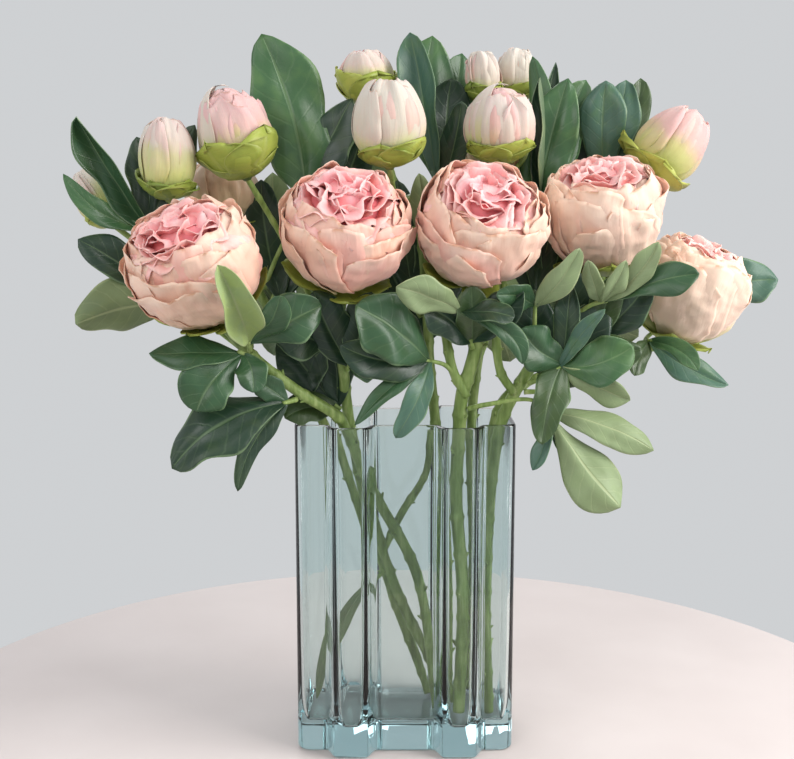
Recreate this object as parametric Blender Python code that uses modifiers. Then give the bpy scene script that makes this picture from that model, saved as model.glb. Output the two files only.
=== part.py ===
"""Pink peonies in a ribbed glass vase.

Metres, +Z up. The origin is the middle of the vase's underside, and the front of the bunch is -Y.
Routes and places of the flowers and leaves are in centimetres and are scaled where they are used.
"""
import math
from collections import namedtuple

import bmesh
import bpy
from mathutils import Vector

CM = 0.01

# The vase: a rounded oblong with two raised flutes down each long side.
VASE_WIDTH = 0.163
VASE_HEIGHT = 0.250
PANEL_DEPTH = 0.080
FLUTE_RISE = 0.013
FLUTE_INNER_EDGE = 0.0245
FLUTE_OUTER_EDGE = 0.0560
FLUTE_SHOULDER = 0.008
PANEL_CROWN = 0.0006
CORNER_RADIUS = 0.010
WALL = 0.004
BASE_THICKNESS = 0.022

# Gaps and small sizes of the plant parts.
FIT_GAP = 0.0005
LEAF_THICKNESS = 0.0010
PETIOLE_RADIUS = 0.0016
STALK_RADIUS = 0.0021
BLADE_ROOT = 0.0026
BLADE_TIP = 0.0008
BLADE_OVERLAP = 0.0032
BLADE_SPACING = 0.0007
BLADE_FOLD = 0.15
BLADE_FULLNESS = 0.85
FORK_SHARE = 0.9
STEEPEST_BRANCH = 0.15

# Blooms and buds.
OPENING_ANGLE = 48
GUARD_WALL = 0.007
BUD_TAPER = 0.14

# Turned shapes.
TURN_STEPS = 14
MERGE = 0.00005
ON_AXIS = 0.000001
CUT_CLEARANCE = 0.005

Blade = namedtuple("Blade", "tip width bow face widest")
Stem = namedtuple("Stem", "radius route")
Stalk = namedtuple("Stalk", "stem height route")
Bloom = namedtuple("Bloom", "centre facing radius")
Bud = namedtuple("Bud", "centre facing radius half_length")
Leaf = namedtuple("Leaf", "stem height route blades")

# Each stem stands on the vase's floor and ends under its bloom, bottom to top.
STEMS = [
    Stem(0.40, [(2.6, -2.0, 2.65), (1.0, -2.0, 12.9), (-2.4, -2.8, 19.8), (-4.2, -3.8, 24.3),
                (-5.0, -4.9, 25.9), (-7.6, -6.1, 27.8), (-10.4, -7.1, 30.2), (-12.9, -6.6, 32.8)]),
    Stem(0.40, [(3.8, -0.4, 2.65), (-0.3, -0.9, 10.8), (-2.9, -1.1, 18.7), (-4.1, -2.2, 24.7),
                (-4.5, -3.4, 29.0), (-4.8, -3.7, 32.2), (-4.4, -3.0, 35.1)]),
    Stem(0.50, [(4.1, -2.8, 2.65), (4.4, -2.6, 11.3), (3.8, -2.7, 19.1), (4.0, -2.8, 24.4),
                (4.2, -3.0, 27.1), (5.2, -2.8, 31.0), (4.8, -1.3, 35.7)]),
    Stem(0.38, [(6.0, -0.9, 2.65), (6.2, -0.8, 10.8), (6.4, -0.7, 19.5), (6.8, -0.4, 24.6),
                (8.4, 0.5, 27.0), (12.4, 2.2, 28.4), (16.8, 4.1, 29.2), (21.1, 5.4, 30.0)]),
    Stem(0.44, [(6.3, -2.7, 2.65), (6.0, -2.6, 11.5), (6.3, -2.6, 19.5), (7.0, -2.5, 24.4),
                (8.1, -2.6, 27.2), (10.3, -2.3, 30.6), (13.1, -0.8, 33.6), (15.0, 1.2, 35.8)]),
    Stem(0.38, [(2.0, 1.2, 2.65), (-0.8, 0.9, 10.2), (-4.2, 0.7, 19.7), (-6.3, 0.9, 24.4),
                (-9.4, 2.0, 30.8), (-12.0, 2.8, 35.6), (-13.6, 2.7, 38.5)]),
    Stem(0.38, [(5.3, 2.1, 2.65), (5.6, 1.8, 13.2), (5.2, 2.0, 23.6), (6.0, 3.8, 30.4),
                (7.3, 6.2, 37.0), (7.7, 7.2, 41.7)]),
    Stem(0.38, [(3.3, 1.5, 2.65), (3.2, 1.1, 13.4), (2.4, 0.8, 23.8), (1.9, 1.0, 29.0),
                (1.6, 1.5, 35.0), (1.1, 1.6, 39.5), (0.3, 0.8, 41.6)]),
]

# The seven blooms: the first five are full, the last two are half open at the back.
BLOOMS = [
    Bloom((-14.3, -9.0, 37.0), (-0.25, -0.52, 0.82), 4.60),
    Bloom((-4.1, -6.0, 39.3), (0.05, -0.60, 0.80), 4.70),
    Bloom((5.35, -4.5, 39.5), (0.12, -0.68, 0.72), 4.60),
    Bloom((14.6, -0.5, 40.5), (-0.08, -0.38, 0.92), 4.60),
    Bloom((22.6, 4.3, 34.6), (0.28, -0.25, 0.93), 4.50),
    Bloom((-14.0, 3.0, 41.8), (-0.10, 0.20, 0.97), 2.95),
    Bloom((8.1, 7.8, 45.5), (0.10, 0.15, 0.98), 3.50),
]
FULL_BLOOMS = 5

# The buds: centre, the way each points, radius and half its length.
BUDS = [
    Bud((-22.4, -1.8, 41.5), (-0.47, 0.0, 0.88), 1.5, 2.2),
    Bud((-16.8, -4.0, 44.2), (-0.02, 0.0, 1.00), 1.9, 2.8),
    Bud((-12.3, -3.0, 46.1), (-0.28, 0.0, 0.96), 2.5, 3.3),
    Bud((-2.9, 3.0, 50.6), (-0.10, 0.0, 1.00), 1.9, 2.0),
    Bud((-1.2, -3.0, 46.8), (-0.02, 0.0, 1.00), 2.5, 3.1),
    Bud((6.0, 4.4, 50.8), (-0.12, 0.0, 1.00), 1.3, 1.9),
    Bud((8.8, 6.2, 51.2), (0.05, 0.0, 1.00), 1.5, 2.0),
    Bud((7.0, 0.0, 46.9), (0.00, -0.05, 1.00), 2.5, 2.8),
    Bud((20.4, 3.0, 45.5), (0.60, 0.0, 0.80), 2.4, 3.1),
]

# The stalks under the buds: the stem each grows from, at which height, and its route to the bud.
STALKS = [
    Stalk(5, 32.0, [(-14.6, 1.0, 34.5), (-18.6, -1.0, 37.3), (-20.9, -1.8, 38.8)]),
    Stalk(0, 30.5, [(-11.4, -4.0, 33.2), (-14.6, -1.9, 37.4), (-16.6, -3.3, 40.3)]),
    Stalk(1, 31.5, [(-7.2, -1.6, 34.6), (-8.9, -1.0, 38.2), (-10.8, -2.4, 41.6)]),
    Stalk(7, 37.5, [(0.3, 2.9, 40.0), (-1.2, 3.3, 44.0), (-2.5, 3.0, 47.9)]),
    Stalk(7, 39.6, [(-0.6, 0.3, 40.9), (-1.0, -2.4, 42.6)]),
    Stalk(6, 33.0, [(6.9, 2.2, 38.0), (6.0, 2.8, 43.0), (5.9, 4.1, 47.9)]),
    Stalk(2, 31.0, [(7.2, -0.5, 34.0), (7.6, 1.1, 39.0), (7.1, 0.3, 43.3)]),
    Stalk(3, 28.8, [(14.4, 4.6, 32.0), (16.6, 5.0, 38.0), (18.0, 3.4, 42.2)]),
]
# The sixth stalk forks: its second branch carries the seventh bud.
FORKED_STALK = 5
FORK_ROUTE = [(6.6, 2.4, 41.5), (9.6, 3.2, 45.5), (9.0, 5.6, 48.5)]
STALK_OF_BUD = [0, 1, 2, 3, 4, 5, 5, 6, 7]

# The compound leaves: the stem and height of the petiole, its route, then its blades.
LEAVES = {
    "leaf_back_left_tall": Leaf(5, 34.0, [(-9.5, 1.3, 37.5), (-7.2, 0.6, 41.6)], [
        Blade((-10.7, 2.0, 53.6), 5.3, (0.6, 0.3, 0.0), (0.1, -1.0, 0.1), 0.52),
        Blade((-4.0, 1.6, 48.8), 3.8, (-0.3, 0.4, 0.0), (-0.3, -1.0, 0.2), 0.50)]),
    "leaf_back_middle_tall": Leaf(7, 36.0, [(1.9, 2.6, 39.0), (2.7, 2.6, 42.4)], [
        Blade((0.4, 2.4, 53.7), 2.9, (-0.2, -0.3, 0.0), (-0.4, -1.0, 0.1), 0.66),
        Blade((4.2, 1.6, 48.6), 2.2, (0.3, 0.0, 0.0), (-0.4, -1.0, 0.0), 0.50),
        Blade((2.2, 5.6, 54.0), 3.4, (-0.4, 0.5, 0.0), (0.1, -1.0, 0.0), 0.66),
        Blade((4.6, 6.9, 52.9), 2.8, (0.3, 0.6, 0.0), (0.2, -1.0, 0.1), 0.66)]),
    "leaf_back_right_tall": Leaf(6, 35.0, [(8.6, 3.9, 37.5), (10.3, 2.4, 41.2)], [
        Blade((10.1, 2.2, 50.4), 1.7, (0.5, -0.2, 0.0), (-0.8, -0.6, 0.0), 0.50),
        Blade((9.8, 4.2, 52.2), 1.9, (0.9, 0.2, 0.0), (-0.5, -1.0, 0.0), 0.55),
        Blade((12.0, 5.6, 52.0), 2.0, (-0.2, 0.4, 0.0), (0.4, -1.0, 0.0), 0.60),
        Blade((12.4, 3.2, 50.5), 3.3, (-0.3, -0.2, 0.0), (-0.2, -1.0, 0.1), 0.50),
        Blade((14.0, 4.7, 50.5), 2.8, (-0.1, 0.2, 0.0), (0.1, -1.0, 0.1), 0.60)]),
    "leaf_right_tall": Leaf(4, 34.0, [(14.2, 4.1, 37.0), (15.4, 5.3, 40.5), (15.6, 4.7, 43.0)], [
        Blade((15.3, 3.4, 50.3), 2.8, (-0.1, -0.2, 0.0), (-0.2, -1.0, 0.1), 0.60),
        Blade((17.2, 4.8, 50.5), 2.8, (0.3, 0.2, 0.0), (0.1, -1.0, 0.1), 0.58),
        Blade((18.5, 6.2, 50.8), 2.0, (0.7, 0.4, 0.0), (0.3, -1.0, 0.0), 0.60),
        Blade((20.9, 5.6, 42.2), 1.9, (-0.2, 0.2, 0.4), (0.1, -1.0, 0.3), 0.55)]),
    "leaf_left_high": Leaf(0, 30.9, [(-13.4, -4.4, 33.0), (-17.2, -3.4, 36.4), (-18.7, -2.4, 39.5)], [
        Blade((-23.1, -4.2, 47.0), 2.9, (-0.5, -0.3, 0.1), (-0.3, -1.0, 0.2), 0.45),
        Blade((-24.0, -4.8, 43.0), 1.3, (-0.2, -0.9, -0.8), (0.2, -1.0, 0.5), 0.50),
        Blade((-19.6, -1.0, 45.8), 2.2, (0.2, 0.3, 0.0), (0.1, -1.0, 0.1), 0.55),
        Blade((-15.2, -1.6, 46.6), 2.0, (-0.4, 0.4, 0.0), (-0.1, -1.0, 0.1), 0.55)]),
    "leaf_left_middle": Leaf(0, 29.4, [(-13.0, -4.0, 31.5), (-16.6, -3.6, 34.2)], [
        Blade((-23.1, -5.0, 38.4), 2.9, (-0.2, 0.0, 0.3), (0.1, -1.0, 0.6), 0.62),
        Blade((-23.0, -6.6, 32.6), 4.5, (0.0, 0.2, 0.5), (0.1, -1.0, -0.3), 0.58)]),
    "leaf_left_low": Leaf(0, 29.7, [(-11.5, -8.2, 30.9)], [
        Blade((-17.3, -9.7, 31.0), 2.9, (0.1, -0.2, 0.0), (0.1, -0.8, 0.9), 0.55),
        Blade((-14.1, -10.2, 27.0), 3.7, (-0.5, -0.6, 0.1), (0.2, -1.0, 0.3), 0.62),
        Blade((-10.4, -9.3, 28.2), 2.4, (0.3, -0.3, 0.2), (0.2, -1.0, 0.2), 0.60)]),
    "leaf_left_rim": Leaf(0, 27.4, [(-8.6, -7.2, 27.1)], [
        Blade((-16.2, -9.5, 23.0), 4.6, (-0.3, -0.8, 0.7), (-0.1, -0.9, 0.6), 0.58),
        Blade((-11.7, -8.6, 21.2), 1.7, (-0.4, -0.3, 0.3), (0.5, -1.0, 0.0), 0.42),
        Blade((-10.3, -7.9, 28.9), 1.9, (-0.1, 0.0, 0.1), (0.1, -1.0, 0.2), 0.55)]),
    "leaf_under_first_bloom": Leaf(0, 30.6, [(-10.7, -8.9, 31.7)], [
        Blade((-11.7, -14.2, 37.2), 2.8, (0.1, -0.9, -0.3), (0.3, -1.0, 0.1), 0.55),
        Blade((-8.4, -11.4, 34.8), 1.7, (0.3, -0.2, 0.0), (0.6, -1.0, 0.0), 0.50),
        Blade((-5.8, -7.9, 34.0), 3.3, (0.2, -0.6, 0.3), (0.1, -1.0, 0.1), 0.62)]),
    "leaf_centre_left": Leaf(1, 30.0, [(-5.7, -4.7, 31.2)], [
        Blade((-9.2, -7.2, 32.7), 3.4, (0.0, -0.5, -0.1), (0.0, -1.0, 0.3), 0.55),
        Blade((-7.8, -3.4, 27.0), 3.2, (-0.3, 0.5, 0.2), (-0.2, -1.0, 0.2), 0.55)]),
    "leaf_centre_front": Leaf(2, 27.6, [(2.9, -4.1, 29.4), (1.4, -5.0, 29.9)], [
        Blade((-3.4, -8.6, 34.1), 4.7, (0.2, -0.8, 0.2), (0.1, -1.0, 0.4), 0.55),
        Blade((-4.5, -8.0, 31.3), 3.0, (-0.1, -0.4, -0.5), (0.0, -1.0, 0.2), 0.55),
        Blade((-3.6, -7.3, 25.6), 1.4, (-0.1, -0.5, 0.4), (-0.3, -1.0, 0.3), 0.45),
        Blade((-0.7, -6.9, 24.5), 2.0, (0.2, -0.8, 0.3), (0.2, -1.0, 0.2), 0.60)]),
    "leaf_under_third_bloom": Leaf(2, 31.0, [(4.6, -4.6, 32.4), (3.7, -6.0, 33.6)], [
        Blade((-0.6, -9.6, 35.3), 2.7, (0.2, -0.3, 0.2), (0.0, -1.0, -0.4), 0.60),
        Blade((7.5, -7.7, 33.2), 2.1, (0.0, -0.5, 0.2), (0.0, -1.0, 0.8), 0.60),
        Blade((8.2, -6.5, 29.8), 1.5, (1.1, -0.5, 0.6), (0.1, -1.0, 0.3), 0.55)]),
    "leaf_between_blooms": Leaf(7, 34.0, [(1.9, -0.2, 37.0)], [
        Blade((1.0, -0.6, 43.2), 2.0, (0.0, 0.0, 0.0), (0.1, -1.0, 0.0), 0.58),
        Blade((2.6, 0.4, 42.0), 1.7, (0.2, 0.0, 0.0), (0.2, -1.0, 0.0), 0.55)]),
    "leaf_centre_right": Leaf(4, 29.4, [(9.3, -4.2, 34.0)], [
        Blade((6.4, -7.2, 34.6), 2.0, (0.0, -0.2, 0.3), (0.1, -1.0, -0.3), 0.50),
        Blade((12.0, -6.8, 37.9), 2.1, (0.2, -0.5, -0.2), (0.0, -1.0, -0.3), 0.55)]),
    "leaf_right_cluster": Leaf(4, 27.6, [(10.3, -3.9, 28.6), (11.7, -3.6, 29.6)], [
        Blade((8.2, -5.4, 32.2), 3.2, (-0.2, -0.4, -0.1), (-0.1, -1.0, 0.3), 0.55),
        Blade((11.8, -4.2, 35.3), 2.2, (-0.1, -0.3, 0.0), (-0.3, -1.0, 0.1), 0.50),
        Blade((9.7, -6.2, 24.0), 2.7, (-0.4, -0.5, 0.1), (-0.1, -1.0, 0.2), 0.42),
        Blade((16.3, -4.2, 26.9), 2.3, (0.0, -0.3, -0.3), (0.1, -0.9, -0.5), 0.60),
        Blade((16.3, -4.8, 30.9), 3.3, (0.0, -0.3, -0.4), (0.1, -1.0, 0.3), 0.62),
        Blade((14.0, -5.8, 33.6), 1.2, (-0.1, -0.3, 0.0), (-0.5, -1.0, 0.1), 0.50)]),
    "leaf_under_fourth_bloom": Leaf(4, 32.0, [(13.4, -2.8, 33.6), (14.7, -3.0, 34.0)], [
        Blade((17.8, -4.9, 38.3), 1.8, (0.4, -0.5, -0.2), (-0.4, -1.0, 0.1), 0.58),
        Blade((20.8, -4.8, 36.0), 2.4, (0.2, -0.6, 0.3), (0.0, -1.0, 0.5), 0.62),
        Blade((15.5, -5.4, 37.0), 1.5, (0.0, -0.5, -0.2), (0.3, -1.0, -0.2), 0.55),
        Blade((12.8, -5.4, 37.0), 1.5, (-0.2, -0.5, -0.2), (-0.4, -1.0, -0.2), 0.55)]),
    "leaf_right_low": Leaf(3, 29.2, [(18.0, 2.4, 30.2), (19.0, 1.4, 30.7)], [
        Blade((24.4, -0.6, 27.5), 2.4, (-0.1, -0.3, -0.3), (0.1, -1.0, 0.7), 0.52),
        Blade((17.3, -0.6, 28.2), 1.8, (-0.2, -0.2, 0.0), (0.2, -1.0, 0.0), 0.52),
        Blade((21.8, -1.6, 28.7), 1.6, (0.3, -0.3, 0.5), (0.2, -1.0, 0.2), 0.55)]),
    "leaf_far_right": Leaf(3, 29.6, [(20.4, 8.0, 30.6), (25.3, 9.0, 33.5)], [
        Blade((31.1, 9.6, 34.9), 3.5, (0.0, 0.3, 0.4), (0.1, -1.0, 0.4), 0.58)]),
    "leaf_right_hanging": Leaf(2, 25.9, [(5.9, -3.9, 26.5), (9.0, -4.1, 26.9), (10.8, -3.9, 25.7)], [
        Blade((17.9, -5.6, 23.5), 2.9, (0.1, -0.4, 0.5), (0.0, -1.0, 0.6), 0.60),
        Blade((15.5, -6.2, 19.4), 4.3, (-0.5, -0.6, -0.1), (0.0, -1.0, 0.4), 0.72),
        Blade((9.2, -5.2, 21.9), 1.4, (0.2, -0.3, 0.1), (-0.6, -0.8, 0.0), 0.60),
        Blade((11.9, -4.6, 22.0), 1.0, (-0.1, 0.0, 0.0), (0.5, -0.8, 0.0), 0.55)]),
    "leaf_in_vase": Leaf(1, 13.5, [(-2.6, -1.9, 12.5)], [
        Blade((-6.6, -2.4, 3.6), 1.3, (-0.9, 0.0, 0.2), (-0.6, -1.0, 0.0), 0.50)]),
    "leaf_rear_left": Leaf(5, 27.5, [(-8.2, 3.6, 30.5), (-8.2, 4.8, 33.0)], [
        Blade((-14.6, 8.6, 35.6), 4.2, (-0.2, 0.3, 0.5), (-0.2, 1.0, 0.6), 0.55),
        Blade((-6.0, 9.2, 38.6), 4.4, (0.2, 0.6, 0.0), (0.1, 1.0, 0.5), 0.55),
        Blade((-10.8, 8.6, 28.6), 3.8, (-0.2, 0.8, 0.4), (-0.2, 1.0, 0.5), 0.55)]),
    "leaf_rear_right": Leaf(6, 28.5, [(6.6, 5.2, 30.4), (6.8, 6.4, 32.4)], [
        Blade((1.4, 9.4, 36.8), 4.2, (-0.2, 0.6, 0.2), (0.0, 1.0, 0.5), 0.55),
        Blade((13.6, 9.6, 35.6), 4.3, (0.2, 0.5, 0.5), (0.2, 1.0, 0.6), 0.55),
        Blade((9.0, 10.2, 28.0), 3.9, (0.2, 0.9, 0.3), (0.2, 1.0, 0.4), 0.55)]),
}


def clear_scene():
    for old in list(bpy.data.objects):
        bpy.data.objects.remove(old, do_unlink=True)


def new_collection(name):
    group = bpy.data.collections.new(name)
    bpy.context.scene.collection.children.link(group)
    return group


def new_material(name, colour, roughness, transmission=0.0):
    material = bpy.data.materials.new(name)
    material.use_nodes = True
    shader = material.node_tree.nodes["Principled BSDF"]
    shader.inputs["Base Color"].default_value = (*colour, 1.0)
    shader.inputs["Roughness"].default_value = roughness
    shader.inputs["Metallic"].default_value = 0.0
    shader.inputs["Transmission Weight"].default_value = transmission
    material.diffuse_color = (*colour, 1.0)
    return material


def place_mesh(name, mesh, material, group):
    mesh.materials.clear()
    mesh.materials.append(material)
    piece = bpy.data.objects.new(name, mesh)
    group.objects.link(piece)
    return piece


def hide_guide(guide):
    guide.hide_render = True
    guide.display_type = "WIRE"


def curve_to_mesh(curve_object):
    """Turn a curve object into a welded mesh at the same place, and remove the curve."""
    bpy.context.view_layer.update()
    graph = bpy.context.evaluated_depsgraph_get()
    mesh = bpy.data.meshes.new_from_object(curve_object.evaluated_get(graph))
    mesh.transform(curve_object.matrix_world)
    cage = bmesh.new()
    cage.from_mesh(mesh)
    bmesh.ops.remove_doubles(cage, verts=cage.verts, dist=MERGE)
    bmesh.ops.recalc_face_normals(cage, faces=cage.faces)
    cage.to_mesh(mesh)
    cage.free()
    bpy.data.objects.remove(curve_object, do_unlink=True)
    return mesh


def add_boolean(piece, other, operation):
    modifier = piece.modifiers.new(f"{operation.lower()} {other.name}", "BOOLEAN")
    modifier.operation = operation
    modifier.object = other
    modifier.solver = "EXACT"


def to_metres(point):
    return Vector(point) * CM


def smooth_route(points, pieces_per_span=3):
    """Points along a Catmull-Rom curve through the given points, ends included."""
    ends = [points[0] * 2 - points[1]] + list(points) + [points[-1] * 2 - points[-2]]
    route = []
    for before, start, end, after in zip(ends, ends[1:], ends[2:], ends[3:]):
        for step in range(pieces_per_span):
            t = step / pieces_per_span
            route.append(0.5 * (2 * start + (end - before) * t
                                + (2 * before - 5 * start + 4 * end - after) * t * t
                                + (3 * start - before - 3 * end + after) * t ** 3))
    route.append(points[-1].copy())
    return route


def tube_curve(name, route, radius, material, group, bevel_resolution=1):
    curve = bpy.data.curves.new(name, "CURVE")
    curve.dimensions = "3D"
    curve.bevel_depth = radius
    curve.bevel_resolution = bevel_resolution
    curve.use_fill_caps = True
    spline = curve.splines.new("POLY")
    spline.points.add(len(route) - 1)
    for spline_point, place in zip(spline.points, route):
        spline_point.co = (*place, 1.0)
    curve.materials.append(material)
    tube = bpy.data.objects.new(name, curve)
    group.objects.link(tube)
    return tube


# ---- Vase ----------------------------------------------------------------------------------------

def smooth_step(t):
    t = min(max(t, 0.0), 1.0)
    return t * t * (3.0 - 2.0 * t)


def flute_depth(x, inset):
    """Half depth of the vase at x, where inset moves the surface inwards by a wall."""
    inner = FLUTE_INNER_EDGE + inset
    outer = FLUTE_OUTER_EDGE - inset
    rise = smooth_step((abs(x) - inner) / FLUTE_SHOULDER + 0.5)
    fall = smooth_step((abs(x) - outer) / FLUTE_SHOULDER + 0.5)
    crown = PANEL_CROWN * math.cos(math.pi * x / VASE_WIDTH)
    return PANEL_DEPTH / 2 - inset + FLUTE_RISE * (rise - fall) + crown


def vase_outline(inset, shoulder_steps=5, corner_steps=5):
    """The plan of the vase, anticlockwise from the front right corner."""
    half_width = VASE_WIDTH / 2 - inset
    radius = CORNER_RADIUS - inset
    stations = []
    for edge in (FLUTE_INNER_EDGE + inset, FLUTE_OUTER_EDGE - inset):
        for step in range(shoulder_steps + 1):
            stations.append(edge + FLUTE_SHOULDER * (step / shoulder_steps - 0.5))
    back_side = [(x, flute_depth(x, inset)) for x in reversed(stations)]
    back_side += [(-x, flute_depth(x, inset)) for x in stations]
    corner_x = half_width - radius
    corner_y = PANEL_DEPTH / 2 - inset - radius
    right_corner = []
    left_corner = []
    for step in range(corner_steps + 1):
        angle = math.pi / 2 * step / corner_steps
        right_corner.append((corner_x + radius * math.cos(angle), corner_y + radius * math.sin(angle)))
        left_corner.append((-corner_x - radius * math.sin(angle), corner_y + radius * math.cos(angle)))
    back_half = right_corner + back_side + left_corner
    return back_half + [(-x, -y) for x, y in back_half]


def extruded_outline(name, outline, low, high, material, group):
    curve = bpy.data.curves.new(name, "CURVE")
    curve.dimensions = "2D"
    curve.fill_mode = "BOTH"
    curve.extrude = (high - low) / 2
    spline = curve.splines.new("POLY")
    spline.points.add(len(outline) - 1)
    for spline_point, (x, y) in zip(spline.points, outline):
        spline_point.co = (x, y, 0.0, 1.0)
    spline.use_cyclic_u = True
    block = bpy.data.objects.new(name, curve)
    block.location.z = (low + high) / 2
    group.objects.link(block)
    return place_mesh(name, curve_to_mesh(block), material, group)


def make_vase(parts, cutters):
    glass = new_material("clear aqua glass", (0.80, 0.90, 0.91), 0.03, 1.0)
    vase = extruded_outline("vase", vase_outline(0.0), 0.0, VASE_HEIGHT, glass, parts)
    hollow = extruded_outline("vase_hollow", vase_outline(WALL), BASE_THICKNESS,
                              VASE_HEIGHT + CUT_CLEARANCE, glass, cutters)
    hide_guide(hollow)
    add_boolean(vase, hollow, "DIFFERENCE")


# ---- Stems and bud stalks ------------------------------------------------------------------------

def stem_route(index):
    return smooth_route([to_metres(point) for point in STEMS[index].route])


def stem_surface(index, height, towards):
    """The point just off a stem's side at a height, on the side that faces a given point."""
    route = stem_route(index)
    for low, high in zip(route, route[1:]):
        if low.z <= height <= high.z:
            axis = (high - low).normalized()
            centre = low.lerp(high, (height - low.z) / (high.z - low.z))
            break
    else:
        raise ValueError(f"stem {index} does not reach {height}")
    away = towards - centre
    direction = away.normalized()
    lean = abs(direction.dot(axis))
    reach = STEMS[index].radius * CM + STALK_RADIUS * lean + FIT_GAP
    return centre + direction * reach / math.sqrt(max(1.0 - lean * lean, STEEPEST_BRANCH))


def make_stems(parts):
    green = new_material("stem green", (0.28, 0.36, 0.12), 0.5)
    for index, stem in enumerate(STEMS):
        tube_curve(f"stem_{index + 1}", stem_route(index), stem.radius * CM, green, parts)


def branch_route(stem, height, route, last):
    """A route from a stem's side through given points, with an exact last point."""
    points = [to_metres(point) for point in route]
    points[-1] = last
    return smooth_route([stem_surface(stem, height * CM, points[0])] + points)


def bud_foot(bud):
    """Where the stalk of a bud ends, just under its pointed foot."""
    facing = Vector(bud.facing).normalized()
    return to_metres(bud.centre) - facing * (bud.half_length * CM + FIT_GAP + STALK_RADIUS / 2)


def make_stalks(parts, cutters):
    green = new_material("stalk green", (0.33, 0.42, 0.14), 0.5)
    for index, stalk in enumerate(STALKS):
        bud = BUDS[STALK_OF_BUD.index(index)]
        name = f"bud_stalk_{index + 1}"
        route = branch_route(stalk.stem, stalk.height, stalk.route, bud_foot(bud))
        tube = tube_curve(name, route, STALK_RADIUS, green, parts)
        if index == FORKED_STALK:
            trunk = place_mesh(name, curve_to_mesh(tube), green, parts)
            start = min(route, key=lambda point: (point - to_metres(FORK_ROUTE[0])).length)
            points = [start] + [to_metres(point) for point in FORK_ROUTE]
            points[-1] = bud_foot(BUDS[STALK_OF_BUD.index(index) + 1])
            fork = tube_curve("fork", smooth_route(points), STALK_RADIUS * FORK_SHARE, green, cutters)
            branch = place_mesh("fork_branch", curve_to_mesh(fork), green, cutters)
            hide_guide(branch)
            add_boolean(trunk, branch, "UNION")


# ---- Blooms and buds -----------------------------------------------------------------------------

def turned_piece(name, profile, centre, facing, material, group):
    """A profile of (radius, height) points turned about an axis that faces a given way."""
    mesh = bpy.data.meshes.new(name)
    mesh.from_pydata([(radius, 0.0, height) for radius, height in profile],
                     [(i, i + 1) for i in range(len(profile) - 1)], [])
    piece = place_mesh(name, mesh, material, group)
    piece.location = centre
    piece.rotation_euler = Vector(facing).to_track_quat("Z", "Y").to_euler()
    screw = piece.modifiers.new("turn", "SCREW")
    screw.axis = "Z"
    screw.steps = TURN_STEPS
    screw.render_steps = TURN_STEPS
    screw.use_merge_vertices = True
    screw.merge_threshold = MERGE
    screw.use_smooth_shade = True
    return piece


def arc_points(radius, first, last, steps):
    """Points (radius, height) on a circle, by angle from the top, ends included."""
    points = []
    for step in range(steps + 1):
        angle = math.radians(first + (last - first) * step / steps)
        points.append((max(radius * math.sin(angle), 0.0), radius * math.cos(angle)))
    return points


def snap_to_axis(profile):
    return [(0.0 if radius < ON_AXIS else radius, height) for radius, height in profile]


def make_full_bloom(name, bloom, guard_pink, heart_pink, parts):
    """The cupped guard petals as a bowl, and the crowded inner petals as a dome inside it."""
    radius = bloom.radius * CM
    inside = radius - GUARD_WALL
    bowl = arc_points(inside, 180, OPENING_ANGLE, 6) + arc_points(radius, OPENING_ANGLE, 180, 6)
    turned_piece(name + "_guard", snap_to_axis(bowl), to_metres(bloom.centre), bloom.facing,
                 guard_pink, parts)
    heart = arc_points(inside - FIT_GAP, 0, OPENING_ANGLE, 3)[:-1]
    heart += arc_points(inside - FIT_GAP, OPENING_ANGLE, 180, 6)
    turned_piece(name + "_heart", snap_to_axis(heart), to_metres(bloom.centre), bloom.facing,
                 heart_pink, parts)


def make_half_open_bloom(name, bloom, material, parts):
    radius = bloom.radius * CM
    ball = arc_points(radius, 0, 180, 8)
    turned_piece(name, snap_to_axis(ball), to_metres(bloom.centre), bloom.facing, material, parts)


def bud_profile(radius, half_length):
    """A plump egg that narrows to its tip and rounds off at its foot, top to bottom."""
    points = []
    steps = 8
    for step in range(steps + 1):
        angle = math.pi * step / steps
        fullness = 1.0 - BUD_TAPER * math.cos(angle)
        points.append((radius * math.sin(angle) * fullness, half_length * math.cos(angle)))
    return snap_to_axis(points)


def make_flowers(parts):
    guard_pink = new_material("guard petal peach", (0.87, 0.62, 0.50), 0.7)
    heart_pink = new_material("heart petal pink", (0.80, 0.33, 0.40), 0.7)
    bud_cream = new_material("bud petal cream", (0.88, 0.76, 0.70), 0.7)
    for index, bloom in enumerate(BLOOMS):
        name = f"bloom_{index + 1}"
        if index < FULL_BLOOMS:
            make_full_bloom(name, bloom, guard_pink, heart_pink, parts)
        else:
            make_half_open_bloom(name, bloom, guard_pink, parts)
    for index, bud in enumerate(BUDS):
        turned_piece(f"bud_{index + 1}", bud_profile(bud.radius * CM, bud.half_length * CM),
                     to_metres(bud.centre), bud.facing, bud_cream, parts)


# ---- Leaves --------------------------------------------------------------------------------------

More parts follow.
